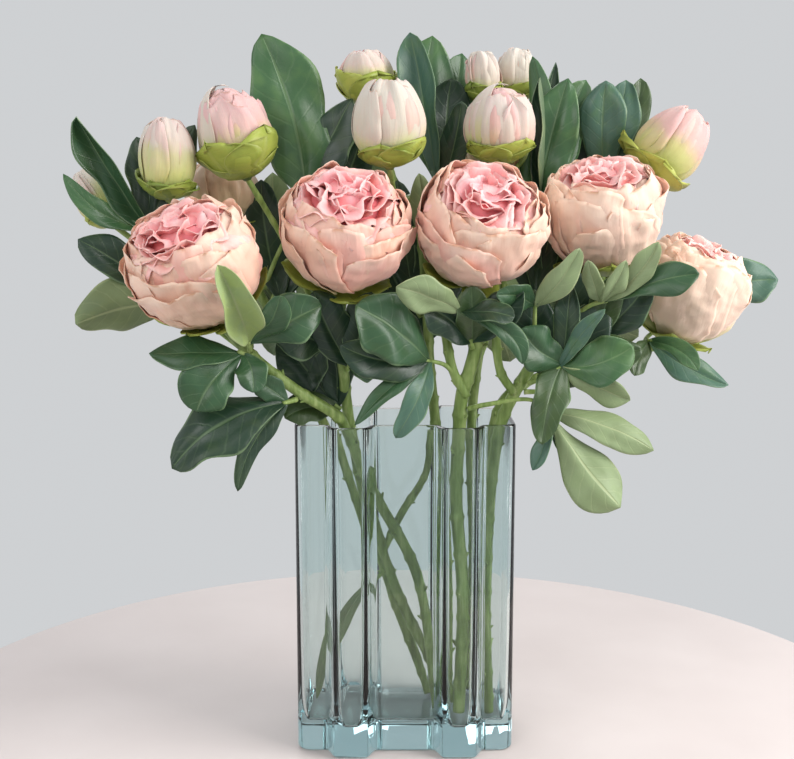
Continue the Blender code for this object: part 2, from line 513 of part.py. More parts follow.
def blade_mesh(name, root, blade, rows=5):
    """A leaf blade: a grid bent along a curved midrib, narrow at its root and its tip."""
    tip = to_metres(blade.tip)
    middle = (root + tip) / 2 + to_metres(blade.bow) * 2
    face = Vector(blade.face).normalized()
    widest_power = math.log(0.5) / math.log(blade.widest)
    cage = bmesh.new()
    bmesh.ops.create_grid(cage, x_segments=2, y_segments=rows, size=1.0)
    for vertex in cage.verts:
        across = vertex.co.x
        t = (vertex.co.y + 1.0) / 2
        place = root * (1 - t) ** 2 + middle * 2 * t * (1 - t) + tip * t * t
        along = ((middle - root) * (1 - t) + (tip - middle) * t).normalized()
        side = along.cross(face).normalized()
        lift = side.cross(along)
        rounded = math.sin(math.pi * min(t ** widest_power, 1.0))
        swell = rounded ** BLADE_FULLNESS if 0 < t < 1 else 0.0
        half_width = max(blade.width * CM / 2 * swell,
                         (BLADE_ROOT * (1 - t) + BLADE_TIP * t) / 2)
        vertex.co = place + (side * across + lift * abs(across) * BLADE_FOLD) * half_width
    mesh = bpy.data.meshes.new(name)
    cage.to_mesh(mesh)
    cage.free()
    return mesh


def make_leaf(name, leaf, material, parts, cutters):
    last = to_metres(leaf.route[-1])
    route = branch_route(leaf.stem, leaf.height, leaf.route, last)
    petiole = tube_curve(name + "_petiole", route, PETIOLE_RADIUS, material, parts)
    piece = place_mesh(name, curve_to_mesh(petiole), material, parts)
    along = (route[-1] - route[-2]).normalized()
    for index, blade in enumerate(leaf.blades):
        blade_name = f"{name}_blade_{index + 1}"
        root = last - along * (BLADE_OVERLAP + index * BLADE_SPACING)
        sheet = place_mesh(blade_name, blade_mesh(blade_name, root, blade), material, cutters)
        solid = sheet.modifiers.new("thickness", "SOLIDIFY")
        solid.thickness = LEAF_THICKNESS
        solid.offset = 0.0
        hide_guide(sheet)
        add_boolean(piece, sheet, "UNION")


def make_leaves(parts, cutters):
    green = new_material("leaf green", (0.10, 0.22, 0.09), 0.45)
    for name, leaf in LEAVES.items():
        make_leaf(name, leaf, green, parts, cutters)


clear_scene()
parts_group = new_collection("peonies in a glass vase")
cutter_group = new_collection("cutters")
make_vase(parts_group, cutter_group)
make_stems(parts_group)
make_stalks(parts_group, cutter_group)
make_flowers(parts_group)
make_leaves(parts_group, cutter_group)
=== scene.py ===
import math
import random
from collections import namedtuple

import bmesh
import bpy
from mathutils import Matrix, Vector, noise


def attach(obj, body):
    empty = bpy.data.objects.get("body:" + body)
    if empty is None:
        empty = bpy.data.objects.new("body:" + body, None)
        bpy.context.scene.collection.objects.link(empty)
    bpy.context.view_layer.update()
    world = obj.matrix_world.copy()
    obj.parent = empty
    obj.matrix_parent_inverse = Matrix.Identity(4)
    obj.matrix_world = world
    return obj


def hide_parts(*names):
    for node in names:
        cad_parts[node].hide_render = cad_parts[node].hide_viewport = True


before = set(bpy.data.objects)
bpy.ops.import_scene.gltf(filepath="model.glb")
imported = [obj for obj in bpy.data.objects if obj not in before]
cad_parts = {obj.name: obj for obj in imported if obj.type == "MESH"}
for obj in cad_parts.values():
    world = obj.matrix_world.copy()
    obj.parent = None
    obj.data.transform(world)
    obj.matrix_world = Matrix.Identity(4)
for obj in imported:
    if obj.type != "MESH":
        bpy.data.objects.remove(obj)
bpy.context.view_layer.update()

# ---- Studio ----------------------------------------------------------------------------------------
# A round pale table with the bunch in its middle, in an even light room with three broad soft lamps and
# two narrow ones at the sides of the vase. The camera stands in front, a little above the rim of the
# vase, and looks slightly down.
TABLE_RADIUS = 0.42
TABLE_THICKNESS = 0.02
TABLE_EDGE = 0.004
TABLE_DROP = 0.0004
TABLE_COLOURS = ((0.59, 0.525, 0.51), (0.63, 0.565, 0.55))
ROOM_COLOUR = (0.62, 0.635, 0.65)
CAMERA_PLACE = (-0.006, -0.89, 0.40)
CAMERA_DOWN = 7.8
CAMERA_LENS = 53.7
# The lamps: name, place, the height over the table's middle that each points at, size, power and colour.
LAMPS = (
    ("window lamp", (1.3, -0.5, 1.1), 0.30, (1.0, 1.4), 31.0, (1.0, 0.98, 0.95)),
    ("front lamp", (-0.9, -1.4, 1.3), 0.30, (1.2, 1.0), 11.0, (1.0, 0.99, 0.98)),
    ("left strip lamp", (-0.95, -0.50, 0.30), 0.15, (0.10, 0.80), 1.2, (1.0, 1.0, 1.0)),
    ("right strip lamp", (1.00, -0.30, 0.30), 0.15, (0.12, 0.80), 2.5, (1.0, 1.0, 1.0)),
    ("back lamp", (-0.6, 1.5, 1.3), 0.35, (1.2, 0.8), 9.0, (0.96, 0.98, 1.0)),
)

scene = bpy.context.scene
scene.view_settings.view_transform = "Standard"


def add_node(tree, kind, settings=None, **inputs):
    """A shader node with its own settings and with values on its named inputs."""
    made = tree.nodes.new(kind)
    for key, value in (settings or {}).items():
        setattr(made, key, value)
    for key, value in inputs.items():
        made.inputs[key.replace("_", " ")].default_value = value
    return made


def new_finish(name, roughness, **inputs):
    """A material, its node tree and its Principled shader."""
    finish = bpy.data.materials.new(name)
    finish.use_nodes = True
    tree = finish.node_tree
    shader = tree.nodes["Principled BSDF"]
    shader.inputs["Roughness"].default_value = roughness
    for key, value in inputs.items():
        shader.inputs[key.replace("_", " ")].default_value = value
    return finish, tree, shader


def add_ramp(tree, source, stops):
    """A colour ramp driven by a source socket, from (place, (r, g, b)) stops."""
    ramp = tree.nodes.new("ShaderNodeValToRGB")
    elements = ramp.color_ramp.elements
    elements[0].position, elements[0].color = stops[0][0], (*stops[0][1], 1.0)
    elements[1].position, elements[1].color = stops[-1][0], (*stops[-1][1], 1.0)
    for place, colour in stops[1:-1]:
        elements.new(place).color = (*colour, 1.0)
    tree.links.new(source, ramp.inputs["Fac"])
    return ramp.outputs["Color"]


def add_noise(tree, vector, scale, detail=3.0, stretch=None):
    """A noise on a vector socket, squeezed by an optional scale on each axis."""
    if stretch is not None:
        mapping = add_node(tree, "ShaderNodeMapping", Scale=stretch)
        tree.links.new(vector, mapping.inputs["Vector"])
        vector = mapping.outputs["Vector"]
    made = add_node(tree, "ShaderNodeTexNoise", Scale=scale, Detail=detail)
    tree.links.new(vector, made.inputs["Vector"])
    return made.outputs["Fac"]


def object_coordinates(tree):
    return tree.nodes.new("ShaderNodeTexCoord").outputs["Object"]


bpy.ops.object.select_all(action="DESELECT")
bpy.ops.mesh.primitive_cylinder_add(vertices=160, radius=TABLE_RADIUS, depth=TABLE_THICKNESS,
                                    location=(0.0, 0.0, -TABLE_DROP - TABLE_THICKNESS / 2))
table = bpy.context.object
table.name = "pale_table"
edge = table.modifiers.new("eased edge", "BEVEL")
edge.width = TABLE_EDGE
edge.segments = 4
bpy.ops.object.modifier_apply(modifier=edge.name)
bpy.ops.object.transform_apply(location=True, rotation=False, scale=False)
bpy.ops.object.shade_smooth_by_angle(angle=math.radians(30))
table_finish, tree, shader = new_finish("pale matt table", 0.55)
mottle = add_noise(tree, object_coordinates(tree), 9.0)
colour = add_ramp(tree, mottle, [(0.3, TABLE_COLOURS[0]), (0.7, TABLE_COLOURS[1])])
tree.links.new(colour, shader.inputs["Base Color"])
table.data.materials.append(table_finish)

room = bpy.data.worlds.new("light room")
room.use_nodes = True
room.node_tree.nodes["Background"].inputs["Color"].default_value = (*ROOM_COLOUR, 1.0)
room.node_tree.nodes["Background"].inputs["Strength"].default_value = 1.0
scene.world = room

for name, place, aim, (width, height), power, colour in LAMPS:
    lamp = bpy.data.lights.new(name, "AREA")
    lamp.shape = "RECTANGLE"
    lamp.size = width
    lamp.size_y = height
    lamp.energy = power
    lamp.color = colour
    stand = bpy.data.objects.new(name, lamp)
    stand.location = place
    stand.rotation_euler = (Vector((0.0, 0.0, aim)) - Vector(place)).to_track_quat("-Z", "Y").to_euler()
    scene.collection.objects.link(stand)

camera_data = bpy.data.cameras.new("camera")
camera_data.lens = CAMERA_LENS
camera_data.sensor_width = 36.0
camera = bpy.data.objects.new("camera", camera_data)
camera.location = CAMERA_PLACE
camera.rotation_euler = (math.radians(90 - CAMERA_DOWN), 0.0, 0.0)
scene.collection.objects.link(camera)
scene.camera = camera

# ---- Vase ------------------------------------------------------------------------------------------
# A rounded oblong vase of clear, faintly aqua glass, with two raised flutes down each long side.
# It is one piece formed in a mould: the walls thicken towards a heavy foot, and the rim is polished.
VASE_WIDTH = 0.163
VASE_HEIGHT = 0.250
PANEL_DEPTH = 0.080
FLUTE_RISE = 0.013
FLUTE_INNER_EDGE = 0.0245
FLUTE_OUTER_EDGE = 0.0560
FLUTE_SHOULDER = 0.008
PANEL_CROWN = 0.0006
CORNER_RADIUS = 0.010
RIM_WALL = 0.0034
FOOT_WALL = 0.0050
FLOOR_HEIGHT = 0.022
FOOT_BEVEL = 0.0025
FLOOR_FILLET = 0.0045
FLOOR_FILLET_HEIGHT = 0.022
SHOULDER_STEPS = 12
CORNER_STEPS = 9
GLASS_SURFACE = (0.82, 0.89, 0.88)
GLASS_TINT = (0.25, 0.60, 0.66)
GLASS_TINT_DENSITY = 9.0


def smooth_step(t):
    t = min(max(t, 0.0), 1.0)
    return t * t * (3.0 - 2.0 * t)


def flute_depth(x, inset):
    """Half depth of the vase at x, where inset moves the surface inwards by a wall."""
    inner = FLUTE_INNER_EDGE + inset
    outer = FLUTE_OUTER_EDGE - inset
    rise = smooth_step((abs(x) - inner) / FLUTE_SHOULDER + 0.5)
    fall = smooth_step((abs(x) - outer) / FLUTE_SHOULDER + 0.5)
    crown = PANEL_CROWN * math.cos(math.pi * x / VASE_WIDTH)
    return PANEL_DEPTH / 2 - inset + FLUTE_RISE * (rise - fall) + crown


def vase_ring(height, inset):
    """The plan of the vase at a height, anticlockwise from the right side."""
    half_width = VASE_WIDTH / 2 - inset
    radius = CORNER_RADIUS - inset
    stations = [0.0, (FLUTE_INNER_EDGE + inset) * 0.5]
    for edge_x in (FLUTE_INNER_EDGE + inset, FLUTE_OUTER_EDGE - inset):
        for step in range(SHOULDER_STEPS + 1):
            stations.append(edge_x + FLUTE_SHOULDER * (step / SHOULDER_STEPS - 0.5))
    back_side = [(x, flute_depth(x, inset)) for x in reversed(stations)]
    back_side += [(-x, flute_depth(x, inset)) for x in stations[1:]]
    corner_x = half_width - radius
    corner_y = PANEL_DEPTH / 2 - inset - radius
    turns = [math.pi / 2 * step / CORNER_STEPS for step in range(CORNER_STEPS + 1)]
    right_corner = [(corner_x + radius * math.cos(a), corner_y + radius * math.sin(a)) for a in turns]
    left_corner = [(-corner_x - radius * math.sin(a), corner_y + radius * math.cos(a)) for a in turns]
    back_half = right_corner + back_side + left_corner
    return [(x, y, height) for x, y in back_half] + [(-x, -y, height) for x, y in back_half]


def arc(steps, first, last):
    """Cosine and sine along an arc, ends included, in degrees."""
    turns = [math.radians(first + (last - first) * step / steps) for step in range(steps + 1)]
    return [(math.cos(turn), math.sin(turn)) for turn in turns]


wall_profile = [(FOOT_BEVEL * (1 + s), FOOT_BEVEL * (1 - c)) for c, s in arc(5, -90, 0)]
wall_profile += [(VASE_HEIGHT * part, 0.0) for part in (0.3, 0.6, 0.9)]
wall_profile += [(VASE_HEIGHT - RIM_WALL / 2 * (1 - s), RIM_WALL / 2 * (1 - c)) for c, s in arc(8, 0, 180)]
for part in (0.85, 0.6, 0.35):
    wall_profile.append((VASE_HEIGHT * part, RIM_WALL * part + FOOT_WALL * (1 - part)))
wall_profile += [(FLOOR_HEIGHT + FLOOR_FILLET_HEIGHT * (1 - s), FOOT_WALL + FLOOR_FILLET * (1 - c))
                 for c, s in arc(9, 0, 90)]

foot_ring = vase_ring(*wall_profile[0])
bpy.ops.object.select_all(action="DESELECT")
bpy.ops.mesh.primitive_circle_add(vertices=len(foot_ring), radius=VASE_WIDTH / 2, fill_type="NGON")
vase = bpy.context.object
vase.name = "clear_glass_vase"
plan_place = vase.data.attributes.new("plan_place", "INT", "POINT")
for index, vertex in enumerate(vase.data.vertices):
    vertex.co = foot_ring[index]
    plan_place.data[index].value = index
bpy.ops.object.mode_set(mode="EDIT")
bpy.ops.mesh.select_mode(type="FACE")
bpy.ops.mesh.select_all(action="SELECT")
for height, inset in wall_profile[1:]:
    bpy.ops.mesh.extrude_region_move()
    ring = vase_ring(height, inset)
    cage = bmesh.from_edit_mesh(vase.data)
    layer = cage.verts.layers.int["plan_place"]
    for vertex in cage.verts:
        if vertex.select:
            vertex.co = ring[vertex[layer]]
    bmesh.update_edit_mesh(vase.data)
bpy.ops.mesh.select_all(action="SELECT")
bpy.ops.mesh.normals_make_consistent(inside=False)
bpy.ops.object.mode_set(mode="OBJECT")
# The extrusions number points and faces differently from run to run, so both are put in a fixed order.
points = sorted(vase.data.vertices, key=lambda vertex: tuple(vertex.co))
number_of = {vertex.index: number for number, vertex in enumerate(points)}
places = [vertex.co.copy() for vertex in points]
faces = [[number_of[index] for index in polygon.vertices] for polygon in vase.data.polygons]
vase.data.clear_geometry()
vase.data.from_pydata(places, [], sorted(faces, key=sorted))
bpy.ops.object.shade_smooth_by_angle(angle=math.radians(50))

def add_bump(tree, shader, height, distance, strength):
    bump = add_node(tree, "ShaderNodeBump", Distance=distance, Strength=strength)
    tree.links.new(height, bump.inputs["Height"])
    tree.links.new(bump.outputs["Normal"], shader.inputs["Normal"])


glass, tree, shader = new_finish("clear aqua glass", 0.0, IOR=1.47, Transmission_Weight=1.0)
shader.inputs["Base Color"].default_value = (*GLASS_SURFACE, 1.0)
tint = add_node(tree, "ShaderNodeVolumeAbsorption", Color=(*GLASS_TINT, 1.0),
                Density=GLASS_TINT_DENSITY)
tree.links.new(tint.outputs["Volume"], tree.nodes["Material Output"].inputs["Volume"])
waver = add_noise(tree, object_coordinates(tree), 22.0, 1.0, (1.0, 1.0, 0.35))
add_bump(tree, shader, waver, 0.0004, 0.35)
vase.data.materials.append(glass)
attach(vase, "root")
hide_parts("vase")

# ---- Stems and stalks --------------------------------------------------------------------------------
# Eight woody-green stems stand on the floor of the vase, and thinner stalks branch off them to the buds.
# Each is a wire with a moulded green sleeve: knobbly, with a swelling at each joint and small nubs.
CM = 0.01
GAP = 0.0005
STALK_RADIUS = 0.0021
ROUTE_STEP = 0.0022
JOINT_SPACING = 0.026
JOINT_SWELL = 0.20
JOINT_LENGTH = 0.0022
STEM_ROUGHNESS = 0.045
STEM_LUMP_RATE = 90.0
STEM_SIDES = 14

Stem = namedtuple("Stem", "radius route")
Stalk = namedtuple("Stalk", "stem height route")
Bud = namedtuple("Bud", "centre facing radius half_length")

STEMS = [
    Stem(0.40, [(2.6, -2.0, 2.65), (1.0, -2.0, 12.9), (-2.4, -2.8, 19.8), (-4.2, -3.8, 24.3),
                (-5.0, -4.9, 25.9), (-7.6, -6.1, 27.8), (-10.4, -7.1, 30.2), (-12.9, -6.6, 32.8)]),
    Stem(0.40, [(3.8, -0.4, 2.65), (-0.3, -0.9, 10.8), (-2.9, -1.1, 18.7), (-4.1, -2.2, 24.7),
                (-4.5, -3.4, 29.0), (-4.8, -3.7, 32.2), (-4.4, -3.0, 35.1)]),
    Stem(0.50, [(4.1, -2.8, 2.65), (4.4, -2.6, 11.3), (3.8, -2.7, 19.1), (4.0, -2.8, 24.4),
                (4.2, -3.0, 27.1), (5.2, -2.8, 31.0), (4.8, -1.3, 35.7)]),
    Stem(0.38, [(6.0, -0.9, 2.65), (6.2, -0.8, 10.8), (6.4, -0.7, 19.5), (6.8, -0.4, 24.6),
                (8.4, 0.5, 27.0), (12.4, 2.2, 28.4), (16.8, 4.1, 29.2), (21.1, 5.4, 30.0)]),
    Stem(0.44, [(6.3, -2.7, 2.65), (6.0, -2.6, 11.5), (6.3, -2.6, 19.5), (7.0, -2.5, 24.4),
                (8.1, -2.6, 27.2), (10.3, -2.3, 30.6), (13.1, -0.8, 33.6), (15.0, 1.2, 35.8)]),
    Stem(0.38, [(2.0, 1.2, 2.65), (-0.8, 0.9, 10.2), (-4.2, 0.7, 19.7), (-6.3, 0.9, 24.4),
                (-9.4, 2.0, 30.8), (-12.0, 2.8, 35.6), (-13.6, 2.7, 38.5)]),
    Stem(0.38, [(5.3, 2.1, 2.65), (5.6, 1.8, 13.2), (5.2, 2.0, 23.6), (6.0, 3.8, 30.4),
                (7.3, 6.2, 37.0), (7.7, 7.2, 41.7)]),
    Stem(0.38, [(3.3, 1.5, 2.65), (3.2, 1.1, 13.4), (2.4, 0.8, 23.8), (1.9, 1.0, 29.0),
                (1.6, 1.5, 35.0), (1.1, 1.6, 39.5), (0.3, 0.8, 41.6)]),
]

# The buds: centre, the way each points, radius and half its length, in centimetres like all the tables.
BUDS = [
    Bud((-22.4, -1.8, 41.5), (-0.47, 0.0, 0.88), 1.5, 2.2),
    Bud((-16.8, -4.0, 44.2), (-0.02, 0.0, 1.00), 1.9, 2.8),
    Bud((-12.3, -3.0, 46.1), (-0.28, 0.0, 0.96), 2.5, 3.3),
    Bud((-2.9, 3.0, 50.6), (-0.10, 0.0, 1.00), 1.9, 2.0),
    Bud((-1.2, -3.0, 46.8), (-0.02, 0.0, 1.00), 2.5, 3.1),
    Bud((6.0, 4.4, 50.8), (-0.12, 0.0, 1.00), 1.3, 1.9),
    Bud((8.8, 6.2, 51.2), (0.05, 0.0, 1.00), 1.5, 2.0),
    Bud((7.0, 0.0, 46.9), (0.00, -0.05, 1.00), 2.5, 2.8),
    Bud((20.4, 3.0, 45.5), (0.60, 0.0, 0.80), 2.4, 3.1),
]

STALKS = [
    Stalk(5, 32.0, [(-14.6, 1.0, 34.5), (-18.6, -1.0, 37.3), (-20.9, -1.8, 38.8)]),
    Stalk(0, 30.5, [(-11.4, -4.0, 33.2), (-14.6, -1.9, 37.4), (-16.6, -3.3, 40.3)]),
    Stalk(1, 31.5, [(-7.2, -1.6, 34.6), (-8.9, -1.0, 38.2), (-10.8, -2.4, 41.6)]),
    Stalk(7, 37.5, [(0.3, 2.9, 40.0), (-1.2, 3.3, 44.0), (-2.5, 3.0, 47.9)]),
    Stalk(7, 39.6, [(-0.6, 0.3, 40.9), (-1.0, -2.4, 42.6)]),
    Stalk(6, 33.0, [(6.9, 2.2, 38.0), (6.0, 2.8, 43.0), (5.9, 4.1, 47.9)]),
    Stalk(2, 31.0, [(7.2, -0.5, 34.0), (7.6, 1.1, 39.0), (7.1, 0.3, 43.3)]),
    Stalk(3, 28.8, [(14.4, 4.6, 32.0), (16.6, 5.0, 38.0), (18.0, 3.4, 42.2)]),
]
# The sixth stalk forks: its second branch carries the seventh bud.
FORKED_STALK = 5
FORK_ROUTE = [(6.6, 2.4, 41.5), (9.6, 3.2, 45.5), (9.0, 5.6, 48.5)]
STALK_OF_BUD = [0, 1, 2, 3, 4, 5, 5, 6, 7]


def to_metres(point):
    return Vector(point) * CM


def smooth_route(points, pieces_per_span=3):
    """Points along a Catmull-Rom curve through the given points, ends included."""
    ends = [points[0] * 2 - points[1]] + list(points) + [points[-1] * 2 - points[-2]]
    route = []
    for before, start, end, after in zip(ends, ends[1:], ends[2:], ends[3:]):
        for step in range(pieces_per_span):
            t = step / pieces_per_span
            route.append(0.5 * (2 * start + (end - before) * t
                                + (2 * before - 5 * start + 4 * end - after) * t * t
                                + (3 * start - before - 3 * end + after) * t ** 3))
    route.append(points[-1].copy())
    return route


def even_route(points):
    """The smooth route through the points, cut into steps of about equal length."""
    fine = smooth_route(points, 24)
    lengths = [0.0]
    for low, high in zip(fine, fine[1:]):
        lengths.append(lengths[-1] + (high - low).length)
    count = max(int(lengths[-1] / ROUTE_STEP), 6)
    route = []
    place = 0
    for step in range(count + 1):
        target = lengths[-1] * step / count
        while place < len(fine) - 2 and lengths[place + 1] < target:
            place += 1
        span = lengths[place + 1] - lengths[place]
        route.append(fine[place].lerp(fine[place + 1], min((target - lengths[place]) / span, 1.0)))
    return route


def stem_surface(index, height, towards):
    """The point just off a stem's side at a height, on the side that faces a given point."""
    route = smooth_route([to_metres(point) for point in STEMS[index].route])
    for low, high in zip(route, route[1:]):
        if low.z <= height <= high.z:
            axis = (high - low).normalized()
            centre = low.lerp(high, (height - low.z) / (high.z - low.z))
            break
    direction = (towards - centre).normalized()
    lean = abs(direction.dot(axis))
    reach = STEMS[index].radius * CM + STALK_RADIUS * lean + GAP
    return centre + direction * reach / math.sqrt(max(1.0 - lean * lean, 0.15))


def branch_points(stem, height, route, last):
    """A route's points from a stem's side through given points, with an exact last point."""
    points = [to_metres(point) for point in route]
    points[-1] = last
    return [stem_surface(stem, height * CM, points[0])] + points


def bud_foot(bud):
    facing = Vector(bud.facing).normalized()
    return to_metres(bud.centre) - facing * (bud.half_length * CM + GAP + STALK_RADIUS / 2)


def add_tube(cage, route, radius_at, sides=12, slot=0):
    """A closed tube along a route, with its radius given for each point along it."""
    turn = (route[1] - route[0]).to_track_quat("Z", "Y")
    turns = [math.tau * side / sides for side in range(sides)]
    rings = []
    for index, centre in enumerate(route):
        ahead = route[min(index + 1, len(route) - 1)] - route[max(index - 1, 0)]
        turn = (turn @ Vector((0.0, 0.0, 1.0))).rotation_difference(ahead) @ turn
        radius = radius_at(index)
        corners = [Vector((radius * math.cos(a), radius * math.sin(a), 0.0)) for a in turns]
        rings.append([cage.verts.new(centre + turn @ corner) for corner in corners])
    faces = [cage.faces.new(list(reversed(rings[0]))), cage.faces.new(rings[-1])]
    for low, high in zip(rings, rings[1:]):
        for side in range(sides):
            after = (side + 1) % sides
            faces.append(cage.faces.new((low[side], low[after], high[after], high[side])))
    for face in faces:
        face.material_index = slot
        face.smooth = True


def add_nub(cage, place, away, along, size):
    """A short thorn-like stub on a stem's side, leaning up along it."""
    direction = (away + along * 0.8).normalized()
    turn = direction.to_track_quat("Z", "Y").to_matrix().to_4x4()
    matrix = Matrix.Translation(place + direction * size * 0.35) @ turn
    made = bmesh.ops.create_cone(cage, cap_ends=True, segments=8, radius1=size * 0.62, radius2=size * 0.22,
                                 depth=size * 1.7, matrix=matrix)
    for vertex in made["verts"]:
        for face in vertex.link_faces:
            face.smooth = True


def piece_from(cage, name):
    """A new object with the mesh of a cage, which is used up."""
    mesh = bpy.data.meshes.new(name)
    cage.to_mesh(mesh)
    cage.free()
    piece = bpy.data.objects.new(name, mesh)
    scene.collection.objects.link(piece)
    return piece


def stem_piece(name, routes, seed, finish, *nodes):
    """A knobbly tube along each (route, radius), with joints and nubs, as one object."""
    rng = random.Random(seed)
    cage = bmesh.new()
    for route, width in routes:
        joints = []
        run = rng.uniform(0.3, 0.9) * JOINT_SPACING
        length = ROUTE_STEP * (len(route) - 1)
        while run < length:
            joints.append(run)
            run += JOINT_SPACING * rng.uniform(0.7, 1.25)
        lumps = rng.uniform(0.0, 50.0)

        def radius_at(index):
            run = index * ROUTE_STEP
            swell = sum(math.exp(-((run - joint) / JOINT_LENGTH) ** 2) for joint in joints)
            rough = noise.noise(Vector((run * STEM_LUMP_RATE, lumps, 0.0)))
            return width * (1.0 + JOINT_SWELL * swell + STEM_ROUGHNESS * rough)

        add_tube(cage, route, radius_at, STEM_SIDES)
        for count, joint in enumerate(joints):
            index = min(int(joint / ROUTE_STEP), len(route) - 2)
            along = (route[index + 1] - route[index]).normalized()
            spin = count * 2.4 + lumps
            turn = along.to_track_quat("Z", "Y")
            away = turn @ Vector((math.cos(spin), math.sin(spin), 0.0))
            add_nub(cage, route[index] + away * width, away, along, width * rng.uniform(0.45, 0.75))
    piece = piece_from(cage, name)
    piece.data.materials.append(finish)
    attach(piece, "root")
    if nodes:
        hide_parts(*nodes)


def feed(tree, socket, value):
    """Link a socket to another socket, or set it to a number or an (r, g, b) colour."""
    if isinstance(value, bpy.types.NodeSocket):
        tree.links.new(value, socket)
    else:
        socket.default_value = (*value, 1.0) if isinstance(value, tuple) else value


def add_mix(tree, factor, first, second):
    """Mix two colours; each of the three may be a socket or a plain value."""
    mix = add_node(tree, "ShaderNodeMix", {"data_type": "RGBA"})
    for socket, value in ((mix.inputs[0], factor), (mix.inputs[6], first), (mix.inputs[7], second)):
        feed(tree, socket, value)
    return mix.outputs[2]


def add_maths(tree, operation, first, second, clamp=False):
    """A math node on two sockets or plain numbers."""
    made = add_node(tree, "ShaderNodeMath", {"operation": operation, "use_clamp": clamp})
    for socket, value in ((made.inputs[0], first), (made.inputs[1], second)):
        feed(tree, socket, value)
    return made.outputs[0]


def times(tree, first, second):
    return add_maths(tree, "MULTIPLY", first, second)


def plus(tree, first, second):
    return add_maths(tree, "ADD", first, second)


def add_range(tree, source, low, high, to_low=0.0, to_high=1.0):
    """A clamped, smooth change of a socket from one range to another."""
    made = add_node(tree, "ShaderNodeMapRange", {"interpolation_type": "SMOOTHSTEP"})
    for socket, value in zip(made.inputs[1:5], (low, high, to_low, to_high)):
        socket.default_value = value
    tree.links.new(source, made.inputs[0])
    return made.outputs[0]


def stem_sleeve(name, dark, middle, pale):
    """Moulded green sleeve: streaked lengthwise, with pale worn patches, and softly rough."""
    finish, tree, shader = new_finish(name, 0.5, Specular_IOR_Level=0.4)
    place = object_coordinates(tree)
    streak = add_noise(tree, place, 60.0, 4.0, (4.0, 4.0, 0.5))
    patch = add_noise(tree, place, 42.0, 3.0)
    colour = add_ramp(tree, streak, [(0.30, dark), (0.52, middle), (0.74, pale)])
    colour = add_mix(tree, add_range(tree, patch, 0.52, 0.72, 0.0, 0.55), colour, pale)
    tree.links.new(colour, shader.inputs["Base Color"])
    tree.links.new(add_range(tree, patch, 0.35, 0.7, 0.42, 0.62), shader.inputs["Roughness"])
    pits = add_noise(tree, place, 420.0, 3.0)
    add_bump(tree, shader, plus(tree, pits, streak), 0.0006, 0.5)
    return finish


stem_green = stem_sleeve("olive green stem", (0.110, 0.170, 0.035), (0.20, 0.29, 0.075), (0.36, 0.44, 0.17))
for index, stem in enumerate(STEMS):
    route = even_route([to_metres(point) for point in stem.route])
    stem_piece(f"main_stem_{index + 1}", [(route, stem.radius * CM)], index, stem_green, f"stem_{index + 1}")

stalk_green = stem_sleeve("fresh green stalk", (0.13, 0.20, 0.045), (0.24, 0.34, 0.090), (0.40, 0.47, 0.19))
for index, stalk in enumerate(STALKS):
    bud = BUDS[STALK_OF_BUD.index(index)]
    points = branch_points(stalk.stem, stalk.height, stalk.route, bud_foot(bud))
    routes = [(even_route(points), STALK_RADIUS)]
    if index == FORKED_STALK:
        start = min(smooth_route(points), key=lambda point: (point - to_metres(FORK_ROUTE[0])).length)
        fork = [start] + [to_metres(point) for point in FORK_ROUTE]
        fork[-1] = bud_foot(BUDS[STALK_OF_BUD.index(index) + 1])
        routes.append((even_route(fork), STALK_RADIUS * 0.9))
    stem_piece(f"branch_stalk_{index + 1}", routes, 20 + index, stalk_green, f"bud_stalk_{index + 1}")

# Three short side shoots without flowers: one crosses inside the vase, two end in cut stumps above it.
SHOOTS = [
    (0.30, [(-1.75, -0.95, 14.6), (-0.2, -0.3, 17.6), (1.7, 0.2, 20.6), (2.1, 0.4, 23.4)]),
    (0.34, [(4.5, -3.3, 27.0), (3.4, -3.6, 29.2), (2.7, -3.2, 33.0)]),
    (0.32, [(8.0, -2.9, 27.2), (6.9, -3.4, 29.0), (6.5, -3.5, 32.0)]),
]
for index, (width, points) in enumerate(SHOOTS):
    route = even_route([to_metres(point) for point in points])
    stem_piece(f"side_shoot_{index + 1}", [(route, width * CM)], 40 + index, stem_green)

# ---- Leaves ------------------------------------------------------------------------------------------
# Compound leaves: a thin green leaf stalk with one to six blades, each printed and pressed fabric.
# A blade is folded along its midrib and waved at its edge, glossy above and pale olive underneath.
PETIOLE_RADIUS = 0.0016
BLADE_ROOT = 0.0026
BLADE_OVERLAP = 0.0032
BLADE_SPACING = 0.0007
BLADE_THICKNESS = 0.0006
BLADE_ROWS = 26
BLADE_COLUMNS = 14
VEIN_RATE = 48.0
EDGE_WAVE = 0.0030
EDGE_RAGGEDNESS = 0.32
SURFACE_WAVE = 0.16
MIDRIB_DEPTH = 0.0004
MIDRIB_WIDTH = 0.0007

# Where each finish of a blade stands on the leaf colour scale. The dark end is partly painted shade, for
# blades that lie in shadow among the others.
DARK, OLIVE, MID, BRIGHT, FRESH, TEAL = 0.0, 0.2, 0.4, 0.6, 0.8, 1.0
TOP, UNDER = 0, 1

# A blade's row gives its tip, width, bow (how far its middle stands off the straight line), the way it
# faces and where along it is widest, and may go on with its tone and the side that shows. Its fold is the
# slope of its halves at the midrib, its roll the bend of each half in radians, its twist the turn from
# foot to tip in degrees, and its curl how far the tip lifts, as a share of length.
Blade = namedtuple("Blade", "tip width bow face widest tone side fold roll twist curl",
                   defaults=(MID, TOP, 0.30, -0.45, 0.0, 0.0))
Leaf = namedtuple("Leaf", "stem height route blades")

